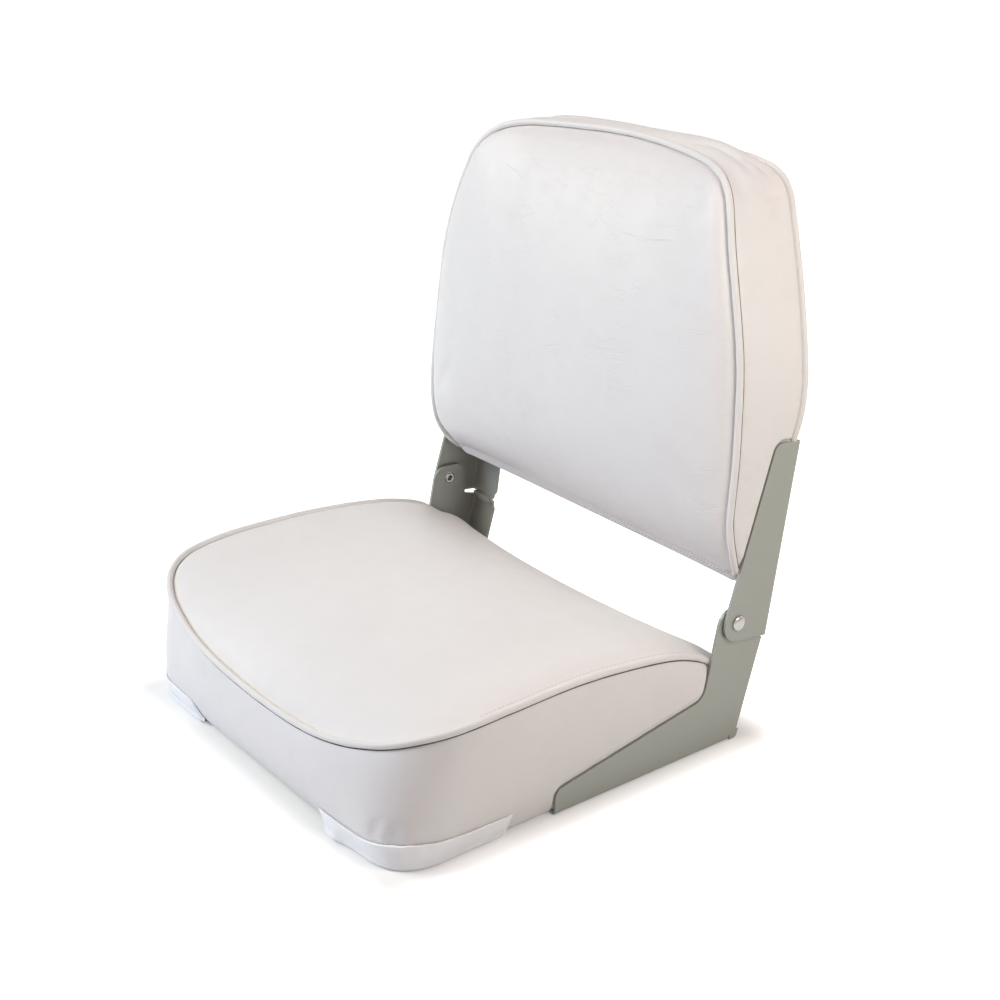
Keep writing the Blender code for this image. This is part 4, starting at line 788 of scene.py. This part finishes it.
# Seat cushion: how many stations lie on each half end edge and each side, and at which rows the sides start
# and end
ACROSS, SEAT_ALONG = 34, 56
SEAT_CORNERS = (7.6, 24.0)
SEAT_HEM = ((-3.3, 16.35), (-3.3, 10), (-3.3, 4.15), (-14, 3.95), (-14, 2.85), (-8, 2.8), (-3.4, 2.8),
            (-1.3, 3.3), (-0.3, 4.6), (0, 6.5))
SEAT_WALLS = (0.06, 0.12, 0.19, 0.27, 0.35, 0.43, 0.51, 0.59, 0.67, 0.75, 0.83, 0.90, 0.96)
CROWN_Y, CROWN_Z = -55.5, 120.3
# The middle line's front and rear ends: their height, and how far they lie from the crown
SEAT_FRONT_Z, SEAT_FRONT_REACH = 16.4, 175
SEAT_REAR_Z, SEAT_REAR_REACH = 30, 188.3
SEAT_PILLOW = (4.0, 10.0, 30.0, False)
SEAT_ACROSS_POWER = 3.0
# How far the foot of the front corners is drawn in
CORNER_EASE = {-1: 22.0, 1: 2.5}
# The seam lies higher round the rear left corner: by how much, and where along the side
LEFT_REAR_LIFT, LIFT_AT, LIFT_WIDTH = 4.5, 96, 20
# Slight puckers low down where the boxing is eased round the front corners: where along y, and how deep
PUCKERS = ((-199, 1.1), (-190, 1.5), (-181, 1.0))
PUCKER_WIDTH, PUCKER_FROM_X, PUCKER_SHARE = 3.4, 150, 0.24


def front_corner(out, side):
    """1 where the wall faces the front corner of one side, falling to 0 along both legs."""
    toward = np.clip((out @ np.array([side * 0.7071, -0.7071]) - 0.70) / 0.30, 0, 1)
    return toward * toward * (3 - 2 * toward)


def rear_lift(x, y):
    """How much higher the seam lies round the rear left corner."""
    return LEFT_REAR_LIFT * np.exp(-((y - LIFT_AT) / LIFT_WIDTH) ** 2) * np.clip((-150 - x) / 25, 0, 1)


def seat_loop():
    """The seat's stations, with the foot of the front corners drawn in as on the photographed seat."""
    loop = stations(SEAT_ROWS, *SEAT_CORNERS, ACROSS, SEAT_ALONG)
    out = smooth_loop(loop_normals(loop[:, 3:5]), 4)
    ease = sum(CORNER_EASE[side] * front_corner(out, side) for side in (-1, 1))
    loop[:, 3:5] -= out * smooth_loop(ease, 3)[:, None]
    loop[:, 2] += rear_lift(loop[:, 0], loop[:, 1])
    return loop


def swelling(share, power, size):
    """How far a wall stands out at a share of its height: fullest a little below the middle."""
    return (4 * share * (1 - share)) ** power * (1.25 - 0.5 * share) * size


def seat_bulge(share, loop, out, rolled):
    front = np.clip(-out[:, 1], 0, 1)
    size = (5.2 + 1.6 * front) * (1 - rolled) + 1.5 * rolled - 3.2 * front_corner(out, -1)
    x, y = loop[:, 3], loop[:, 4]
    pucker = sum(deep * np.exp(-((y - at) / PUCKER_WIDTH) ** 2) for at, deep in PUCKERS)
    pucker = pucker * (np.abs(x) > PUCKER_FROM_X)
    at_pucker = np.exp(-((share - PUCKER_SHARE) / 0.10) ** 2) + 0.25 * np.sin(math.pi * share)
    return swelling(share, 0.7, size) - pucker * at_pucker


def ellipse(start, reach, along, power=2.0):
    """Height over start of a quarter ellipse that ends reach away from its top; along counts from there."""
    return start * np.clip(1 - (np.abs(along) / reach) ** power, 0, 1) ** (1 / power)


def seat_middle(y):
    """Height of the seat's middle line: two quarter ellipses that meet at the crown."""
    from_crown = np.asarray(y, float) - CROWN_Y
    front = SEAT_FRONT_Z + ellipse(CROWN_Z - SEAT_FRONT_Z, SEAT_FRONT_REACH, from_crown)
    rear = SEAT_REAR_Z + ellipse(CROWN_Z - SEAT_REAR_Z, SEAT_REAR_REACH, from_crown)
    return np.where(from_crown < 0, front, rear)


# Near the plates a cover is held where it lies closer than this behind one
COVERED_GAP = 3
# A wall counts as rolled, and can be held as a whole, where it rolls inwards over more than this
ROLLED_DEPTH = 1.5


def pins_of(groups, loop, ring_count, held, give, hold_rolled, covered):
    """How firmly each point of a cover is held while it swells: 1 at seams, hems and behind the plates.

    held: how many rings are held from the hem on; give: how much the edge gives where it isn't piped, and
    the depth from which on it gives that much; hold_rolled: whether rolled walls are held as well.
    """
    station = np.arange(len(groups)) % len(loop)
    depth = loop[station, 5]
    edge = groups >= ring_count - CREASE_RINGS
    pins = np.zeros(len(groups))
    pins[(groups >= 0) & (groups < held)] = 1
    pins[groups == held] = 0.6
    pins[edge] = 1 - give[0] * np.clip(depth[edge] / give[1], 0, 1)
    rolled = (groups >= held) & ~edge & (depth > ROLLED_DEPTH)
    pins[(groups == -2) | covered | (rolled & hold_rolled)] = 1
    return pins


def make_cushion(name, body, material, loop, along, edge, crown, held, behind, folds, placed=None):
    """A cover made of its edge's rings and two panels, swollen a little, folded and pressed in.

    edge and crown: what rings_of and crowned need; held: as pins_of takes it; behind: the gap from a
    plate, the flank and how far out a plate covers it.
    """
    rings = rings_of(loop, *edge)
    hidden, hidden_index = coons(rings[0], ACROSS, along)
    shown, shown_index = coons(rings[-1], ACROSS, along)
    panels = [(len(rings) - 1, crowned(shown, *crown), shown_index), (0, hidden, hidden_index)]
    points, faces, groups = join_rings(rings, panels)
    piece = new_object(name + "_cushion", points, faces)
    gap_of, flank, covered_from = behind
    covered = (gap_of(points) < COVERED_GAP) & (np.abs(points[:, 0]) > covered_from)
    cloth(piece, pins_of(groups, loop, len(rings), *held, covered))
    finish_cushion(piece, gap_of, flank, folds, placed)
    attach(piece, material, body, "white_vinyl", name + "_cover", name + "_foam")
    return piece


def beside(path, out, rise, up):
    """A path moved outwards and upwards; outwards is square to the path and to up."""
    side = unit(np.cross(directions(path), np.broadcast_to(up, path.shape)))
    return path + side * out + np.array(up) * rise


# Beside a piping's centre, outwards and upwards: the dark tube of painted shade in the crevice under it, and
# how thick that is
SEAM_OUT, SEAM_RISE, SEAM_RADIUS = 0.35, -3.25, 0.8
LINE_STEP = 2.0
UP = (0, 0, 1)
# The seat's top stitches: how far inboard of the piping, from where to where along y, and their thickness
TOP_STITCH_OUT, TOP_STITCH_RISE, TOP_STITCH_RADIUS = -5.8, 1.0, 0.24
TOP_STITCH_Y = (-135, 92)
# The ends of the seat's piping, drawn in behind the hinge plates
PIPING_TAIL = ((190.9, 104.5, 76.3), (190.8, 108.5, 73.0))
PIPING_LAST_ROW = 22


def piping(name, path, body, node):
    attach(tube(name, path, PIPE_RADIUS, wander=0.03), welt, body, "vinyl_piping", node)


# A dark tube of painted shade laid in the crevice under a piping, on the boxing's side
def seam_line(name, path, up, body):
    line = respaced(beside(path, SEAM_OUT, SEAM_RISE, up), LINE_STEP)
    attach(tube(name, line, SEAM_RADIUS, sides=8), seam_shadow_paint, body, "vinyl_piping")


def make_seat_trim():
    knots = half_knots(SEAT_ROWS, [0, 1, 2])
    end = np.interp(PIPING_LAST_ROW, np.arange(len(knots)), knots)
    half = resample(SEAT_ROWS, knots, np.linspace(0, end, 160))[:, :3]
    half = np.concatenate([half, PIPING_TAIL])
    path = np.concatenate([(half * [-1, 1, 1])[::-1][:-1], half])
    path[:, 2] += rear_lift(path[:, 0], path[:, 1])
    piping("seat_welt", path, "seat", "seat_piping")
    seam_line("seat_seam_shadow_line", path, UP, "seat")
    stitched = half[(half[:, 1] > TOP_STITCH_Y[0]) & (half[:, 1] < TOP_STITCH_Y[1])]
    for side, label in ((-1, "left"), (1, "right")):
        row = beside(stitched, TOP_STITCH_OUT, TOP_STITCH_RISE, UP) * [side, 1, 1]
        place, normal = laid_on(seat, respaced(row, 4.0))
        made = stitches("seat_top_stitches_" + label, place, normal, TOP_STITCH_RADIUS)
        attach(made, thread, "seat", "vinyl_piping")


seat = make_cushion(
    "seat", "seat", vinyl, seat_loop(), SEAT_ALONG,
    (SEAT_HEM, SEAT_WALLS, seat_bulge, SEAT_CREASE, SEAT_ROLL), (seat_middle, SEAT_PILLOW, SEAT_ACROSS_POWER),
    (len(SEAT_HEM) + 3, (0.85, 20), False),
    (seat_gap, SEAT_FLANK, 185), SEAT_FOLDS,
)
make_seat_trim()

BOARD_CLEARANCE = 3.6


def make_board():
    """The seat board with its front corners cut back, so that it stays inside the eased foot of the cover."""
    node = frame["nodes"]["seat_board"]
    mesh = node.data.copy()
    mesh.transform(node.matrix_world)
    piece = add_object("seat_base_board", mesh)
    foot, points = seat_loop()[:, 3:5], get_points(piece)
    for side in (-1, 1):
        toward = np.array([side * math.sqrt(0.5), -math.sqrt(0.5)])
        beyond = points[:, :2] @ toward - ((foot @ toward).max() - BOARD_CLEARANCE)
        points[:, :2] -= np.clip(beyond, 0, None)[:, None] * toward
    set_points(piece, points)
    return piece


attach(make_board(), plywood, "seat", "plywood", "seat_board")

# Backrest cushion, described along the backrest and then set in place
BACK_ALONG = 52
BACK_CORNERS = (5.0, 21.2)
BACK_HEM = ((-22, -31.2), (-14, -31.25), (-4.8, -31.25), (-3.6, -31.0), (-2.1, -29.2), (-1.6, -28.0),
            (-0.2, -27.0), (0.7, -25.6))
BACK_WALLS = (0.07, 0.15, 0.24, 0.33, 0.42, 0.51, 0.60, 0.69, 0.74, 0.774, 0.81, 0.87, 0.94)
# The bottom is folded sharply at this share of the wall's height, where it turns to the rear
FOLD_EDGE_SHARE = 0.774
FOLD_OUT = 7.8
# The boxing along the top stands out in a hump beside the middle, more on the right
HUMP_AT = 76
HUMP_HEIGHT = {-1: 0.7, 1: 4.4}
HUMP_INNER_WIDTH, HUMP_OUTER_WIDTH = 45.0, 32.0
# The middle line: its highest place along the backrest, and the forward reach there and at the top end
BACK_CROWN_U, BACK_CROWN_FORWARD = 185, 62.0
BACK_TOP_FORWARD, BACK_TOP_REACH, BACK_TOP_POWER = -14, 182, 2.25
BACK_FOOT_REACH = 142.0
BACK_PILLOW = (9.4, 6.0, 45.0, True)
BACK_ACROSS_POWER = 2.6


def back_bulge(share, loop, out, rolled):
    top = np.clip(out[:, 1], 0, 1)
    outside = np.abs(loop[:, 3]) - HUMP_AT
    width = np.where(outside > 0, HUMP_OUTER_WIDTH, HUMP_INNER_WIDTH)
    hump = np.where(loop[:, 3] > 0, HUMP_HEIGHT[1], HUMP_HEIGHT[-1]) * np.exp(-(outside / width) ** 2)
    swell = swelling(share, 0.75, 4.6 - 1.0 * top + top * hump)
    fold = np.where(share < FOLD_EDGE_SHARE, share / FOLD_EDGE_SHARE, (1 - share) / (1 - FOLD_EDGE_SHARE))
    return swell * (1 - rolled) + FOLD_OUT * fold * rolled


def back_middle(u):
    """Forward reach of the backrest's middle line."""
    above = np.asarray(u, float) - BACK_CROWN_U
    top = ellipse(BACK_CROWN_FORWARD - BACK_TOP_FORWARD, BACK_TOP_REACH, above, BACK_TOP_POWER)
    foot = ellipse(BACK_CROWN_FORWARD, BACK_FOOT_REACH, above)
    return np.where(above > 0, BACK_TOP_FORWARD + top, foot)


BACK_FORWARD = (0, -math.cos(LEAN), math.sin(LEAN))
# Both pipings start behind the plates; the front one runs in behind the hinge with this tail
PIPING_FIRST_ROW = 6.0
BACK_TAIL = ((189.5, 34.6, -5.5), (190.6, 36.2, -1.5), (191.6, 38.2, 1.8))
REAR_PIPING_LEVEL = -29.6
# The line of painted shade on the panel's side of the front piping, and the two stitched lines along the
# bottom, each laid over a grey tube of painted shade
PANEL_OUT, PANEL_RISE, PANEL_RADIUS = -2.75, -0.9, 0.5
HEM_HEIGHTS = (4.5, 10.0)
HEM_X = (4, 186)
HEM_RADIUS, HEM_LIFT = 0.42, 0.22


def half_line(columns, count):
    """The right half of a piping of the backrest from its lower end to the middle of the top."""
    knots = half_knots(BACK_ROWS, columns)
    start = np.interp(PIPING_FIRST_ROW, np.arange(len(knots)), knots)
    return resample(BACK_ROWS, knots, np.linspace(start, knots[-1], count))[:, columns]


def make_back_trim():
    front = np.concatenate([BACK_TAIL, half_line([0, 1, 2], 180)])
    rear = np.column_stack([half_line([3, 4], 170), np.full(170, REAR_PIPING_LEVEL)])
    front, rear = (back_to_world(np.concatenate([half, (half * [-1, 1, 1])[::-1][1:]]))
                   for half in (front, rear))
    piping("back_welt_front", front, "backrest", "back_piping_front")
    piping("back_welt_rear", rear, "backrest", "back_piping_rear")
    seam_line("back_seam_shadow_line", front, BACK_FORWARD, "backrest")
    # a thin grey tube of painted shade beside the piping, on the panel's side
    line = respaced(beside(front, PANEL_OUT, PANEL_RISE, BACK_FORWARD), LINE_STEP)
    attach(tube("back_panel_shade_line", line, PANEL_RADIUS, sides=8), seam_shade, "backrest", "vinyl_piping")
    for number, height in enumerate(HEM_HEIGHTS, 1):
        row = np.array([(x, 31.8 + 0.8 * height, -1 + 0.6 * height) for x in np.linspace(*HEM_X, 60)])
        place, normal = laid_on(back, back_to_world(row))
        # a grey tube of painted shade along each row, standing in for the shaded hem band under the stitches
        line = tube("back_hem_shade_line_%d" % number, place, HEM_RADIUS, sides=8)
        attach(line, hem_shade, "backrest", "vinyl_piping")
        made = stitches("back_hem_stitches_%d" % number, place + normal * HEM_LIFT, normal, HEM_RADIUS)
        attach(made, hem_thread, "backrest", "vinyl_piping")


back = make_cushion(
    "back", "backrest", creased, stations(BACK_ROWS, *BACK_CORNERS, ACROSS, BACK_ALONG), BACK_ALONG,
    (BACK_HEM, BACK_WALLS, back_bulge, BACK_CREASE, BACK_ROLL), (back_middle, BACK_PILLOW, BACK_ACROSS_POWER),
    (len(BACK_HEM), (0.3, 10), True), (back_gap, BACK_FLANK, 188), BACK_FOLDS, back_to_world,
)
make_back_trim()

# Corner protectors: thin milky plastic bent round the front corners, a leaf under the seat and a wall
PROTECTOR_WALL = 1.9
PROTECTOR_END_Y = -104.5
# The wall thins out over this distance from each end, down to this share
PROTECTOR_TAPER, PROTECTOR_THIN = 7.0, 0.25
PROTECTOR_PLACES = 110
# Where the leaf's rows lie in from the foot, how the outer and inner sides turn up from it (outwards and
# upwards), and the shares of the wall's height
LEAF_DEPTHS = (24.0, 12, 5, 2.4)
LEAF_LEVEL = 0.25
TURN_UP = (((0.0, 0.35), (-0.7, 2.35)), ((1.5, 0.95), (0.0, 2.75)), ((2.4, 2.0), (0.5, 3.2)))
WALL_SHARES = (0.0, 0.12, 0.25, 0.4, 0.55, 0.7, 0.85, 0.95, 1.0)
WALL_FOOT, WALL_LEAST = 3.6, 4.2
CORNER_RISE_WIDTH = 34.0
STAND_OFF_LENGTH, STAND_OFF_FADE = 25.0, 14.0
# The cover's wall starts to swell at this height; its seam lies this far under the piping's centre
COVER_FOOT, COVER_SEAM, COVER_SEAM_OUT = 6.5, 4.6, 1.3


def make_protector(label, side, front_x, front_radius, slants, stand_off, heights, gap):
    """slants: how far each end leans in at its foot; stand_off: how far the foot of the front leg stands
    away from the cushion; heights: front leg, side leg, and how much more round the corner."""
    loop = seat_loop()
    table = np.column_stack([loop, smooth_loop(loop_normals(loop[:, 3:5]), 2)])
    count = 2 * ACROSS + SEAT_ALONG + 1
    if side > 0:
        table = table[:count]
    else:
        table = np.concatenate([table[:1], table[::-1][:count - 1]]) * [-1, 1, 1, -1, 1, 1, -1, 1]
    knots = path_lengths(table[:, 3:5])
    start = np.interp(front_x, table[:60, 3], knots[:60])
    end = np.interp(PROTECTOR_END_Y, table[40:90, 4], knots[40:90])
    corner_at = knots[np.argmax(table[:, 6] - table[:, 7])]

    def lines(share, level_sides=None):
        """The outer and inner lines at one level, where the ends slant inwards towards the foot; level_sides
        gives how far out and how high both lie, otherwise they follow the cushion's wall."""
        first, last = start + slants[0] * (1 - share), end - slants[1] * (1 - share)
        wanted = first + (last - first) * np.linspace(0, 1, PROTECTOR_PLACES)
        row = read_off(table, knots, wanted)
        out = unit(row[:, 6:8])
        front = np.clip(-out[:, 1], 0, 1)
        past = np.clip(wanted - start - STAND_OFF_LENGTH, 0, None)
        off = stand_off * np.exp(-past / STAND_OFF_FADE) * front
        if level_sides is not None:
            sides = [(off + step, np.full(len(row), level)) for step, level in level_sides]
        else:
            height = heights[1] + (heights[0] - heights[1]) * front
            height += heights[2] * np.exp(-((wanted - corner_at) / CORNER_RISE_WIDTH) ** 2)
            from_front = np.clip(front_radius - (wanted - start), 0, front_radius)
            height -= front_radius - np.sqrt(front_radius ** 2 - from_front ** 2)
            level = WALL_FOOT + (np.maximum(height, WALL_LEAST) - WALL_FOOT) * share
            climb = np.clip((level - COVER_FOOT) / (row[:, 2] - COVER_SEAM - COVER_FOOT), 0, 1)
            swell = seat_bulge(climb, row[:, :6] * [side, 1, 1, side, 1, 1], out * [side, 1], 0)
            lean = ((row[:, :2] + out * COVER_SEAM_OUT - row[:, 3:5]) * out).sum(1) * climb
            follow = swell + lean + gap
            inside = follow + np.maximum(off - follow * 0.5, 0) * (1 - share)
            sides = [(inside + PROTECTOR_WALL, level), (inside, level)]
        outer, inner = (np.column_stack([row[:, 3:5] + out * away[:, None], high]) for away, high in sides)
        from_end = np.minimum(wanted - wanted[0], wanted[-1] - wanted)
        thin = np.clip(from_end / PROTECTOR_TAPER, PROTECTOR_THIN, 1)[:, None]
        return inner + (outer - inner) * thin, inner

    leaf_levels = (LEAF_LEVEL, LEAF_LEVEL + PROTECTOR_WALL)
    profile = [lines(0, [(-depth, level) for level in leaf_levels]) for depth in LEAF_DEPTHS]
    profile += [lines(0, turn) for turn in TURN_UP] + [lines(share) for share in WALL_SHARES]
    vertices = np.concatenate([np.stack(sheet, 1).reshape(-1, 3) for sheet in zip(*profile)]) * [side, 1, 1]
    rows, width = PROTECTOR_PLACES, len(profile)
    shift = rows * width
    faces = grid_faces(rows, width) + grid_faces(rows, width, start=shift)
    rims = [[row * width + column for row in range(rows)] for column in (0, width - 1)]
    rims += [[row * width + column for column in range(width)] for row in (0, rows - 1)]
    for rim in rims:
        faces += [(a, b, shift + b, shift + a) for a, b in zip(rim, rim[1:])]
    piece = new_object("protector_" + label, vertices, faces)
    outward_faces(piece)
    rounding = piece.modifiers.new("rounding", "BEVEL")
    rounding.width = 0.35 * MM
    rounding.segments = 2
    rounding.limit_method = "ANGLE"
    rounding.angle_limit = math.radians(50)
    attach(piece, milky, "seat", "clear_plastic", "corner_protector_" + label)


make_protector("right", 1, 98, 3.0, (9.0, 2.5), 6.5, (17.0, 20.0, 5.5), 0.4)
make_protector("left", -1, 90, 15.0, (1.0, 2.5), 0.5, (21.0, 22.0, 1.0), 0.3)

# Rivets as (radius, height) outwards from the middle of their own place: a domed head outside, a shank, and a
# rolled hollow end inside
RIVET_X = 200.5
HEAD_RADIUS, HEAD_HEIGHT, HEAD_BASE = 6.5, 2.35, 0.75
RIVET_SHANK = [(6.4, 0.3), (3.9, 0.3), (3.9, -6.35), (5.95, -6.35)]
ROLL_RADIUS, ROLL_LEVEL, ROLL_WIDE, ROLL_HIGH = 3.7, -6.6, 1.5, 1.25
RIVET_HOLLOW = [(2.2, -3.4), (0, -3.4)]
rivet = [(HEAD_RADIUS * math.sin(a), HEAD_BASE + HEAD_HEIGHT * math.cos(a))
         for a in np.linspace(0, math.pi / 2, 12)]
rivet += RIVET_SHANK
rivet += [(ROLL_RADIUS + ROLL_WIDE * math.cos(a), ROLL_LEVEL - ROLL_HIGH * math.sin(a))
          for a in np.linspace(0, math.pi, 12)]
rivet += RIVET_HOLLOW
for side, label in ((-1, "left"), (1, "right")):
    made = lathe("rivet_" + label, rivet, PIVOT + [side * RIVET_X, 0, 0], (side, 0, 0))
    attach(made, bright, "seat", "bright_rivet", "pivot_rivet_" + label)

# CAD nodes that keep their shape, by how their names begin
NODE_LOOKS = {
    "hinge_": paint, "pivot_washer": nylon, "seat_screw": zinc, "back_screw": zinc, "mount_nut": zinc,
    "back_board": plywood, "back_rear_panel": panel_vinyl,
}
for name, node in frame["nodes"].items():
    for beginning, material in NODE_LOOKS.items():
        if name.startswith(beginning):
            dress(node, material)


# Floor, backdrop and light: near the object the floor only catches its shadow, and further out it goes over
# into the bright backdrop
FLOOR_HALF = 6.0
FLOOR_DROP = 0.0005
FLOOR_WHITE = 0.80
FOOTPRINT_CENTRE, FOOTPRINT_HALF = (0.008, -0.035, 0), (0.184, 0.175, 0)
GLOW_WIDTH, GLOW_NEAR = 0.05, 0.16
AMBIENT = 0.02
LAMPS = (
    ("key", (-1.1, -1.5, 1.5), (0, 0, 0.2), (1.3, 1.3), 38.4, (0.965, 1.0, 0.885)),
    ("top", (0.0, 0.0, 2.0), (0, 0, 0.2), (1.6, 1.6), 9.8, (1.0, 0.872, 0.976)),
    ("right", (0.80, 0.12, 0.66), (0.15, 0.15, 0.30), (0.4, 0.4), 3.9, (1.0, 0.955, 0.88)),
    ("front", (0.3, -2.0, 1.1), (0, 0, 0.2), (1.0, 1.0), 2.6, (1.0, 0.5, 0.55)),
    ("rear", (0.3, 1.5, 0.8), (0, 0, 0.1), (1.0, 1.0), 5.0, (1.0, 0.68, 0.52)),
    ("front_low", (-0.7, -1.5, 0.45), (0, 0, 0.1), (0.8, 0.5), 4.4, (0.08, 0.34, 1.0)),
)


def background_seen(tree):
    """1 for the camera and for what metal and glass show, 0 for the light that falls on the object."""
    paths = new_node(tree, "LightPath", {}).outputs
    shown = math_node(tree, "MAXIMUM", paths["Is Transmission Ray"], paths["Is Glossy Ray"])
    return math_node(tree, "MAXIMUM", paths["Is Camera Ray"], shown)


def make_floor():
    mesh = bpy.data.meshes.new("floor")
    corners = [(x * FLOOR_HALF, y * FLOOR_HALF, 0) for x, y in ((-1, -1), (1, -1), (1, 1), (-1, 1))]
    mesh.from_pydata(corners, [], [(0, 1, 2, 3)])
    floor = add_object("floor", mesh)
    floor.location.z = -FLOOR_DROP
    material = bpy.data.materials.new("floor")
    material.use_nodes = True
    tree = material.node_tree
    tree.nodes.clear()
    beyond = new_node(tree, "TexCoord", {}).outputs["Object"]
    for operation, *value in (("SUBTRACT", FOOTPRINT_CENTRE), ("ABSOLUTE",), ("SUBTRACT", FOOTPRINT_HALF),
                              ("MAXIMUM", (0, 0, 0))):
        values = dict(enumerate((beyond, *value)))
        beyond = new_node(tree, "VectorMath", values, operation=operation).outputs["Vector"]
    distance = new_node(tree, "VectorMath", {0: beyond}, operation="LENGTH").outputs["Value"]
    far = ramp(tree, distance, 0.0, GLOW_WIDTH, GLOW_NEAR, 1.0)
    strength = math_node(tree, "MULTIPLY", background_seen(tree), far)
    glow = new_node(tree, "Emission", {"Color": (1, 1, 1, 1), "Strength": strength}).outputs[0]
    diffuse = new_node(tree, "BsdfDiffuse", {"Color": (FLOOR_WHITE, FLOOR_WHITE, FLOOR_WHITE, 1)}).outputs[0]
    both = new_node(tree, "AddShader", {0: diffuse, 1: glow}).outputs[0]
    new_node(tree, "OutputMaterial", {"Surface": both})
    dress(floor, material)


def make_world():
    world = bpy.data.worlds.new("studio")
    bpy.context.scene.world = world
    world.use_nodes = True
    tree = world.node_tree
    lit = math_node(tree, "MULTIPLY", background_seen(tree), 1.0 - AMBIENT)
    plug(tree, tree.nodes["Background"], {
        "Color": (1, 1, 1, 1), "Strength": math_node(tree, "ADD", lit, AMBIENT),
    })


def make_lamp(name, place, target, size, power, colour):
    data = bpy.data.lights.new(name, "AREA")
    data.shape = "RECTANGLE"
    data.size, data.size_y = size
    data.energy = power
    data.color = colour
    lamp = add_object(name, data)
    lamp.location = place
    lamp.rotation_euler = (Vector(place) - Vector(target)).to_track_quat("Z", "Y").to_euler()


bpy.context.scene.view_settings.view_transform = "Standard"
make_floor()
make_world()
for lamp in LAMPS:
    make_lamp(*lamp)
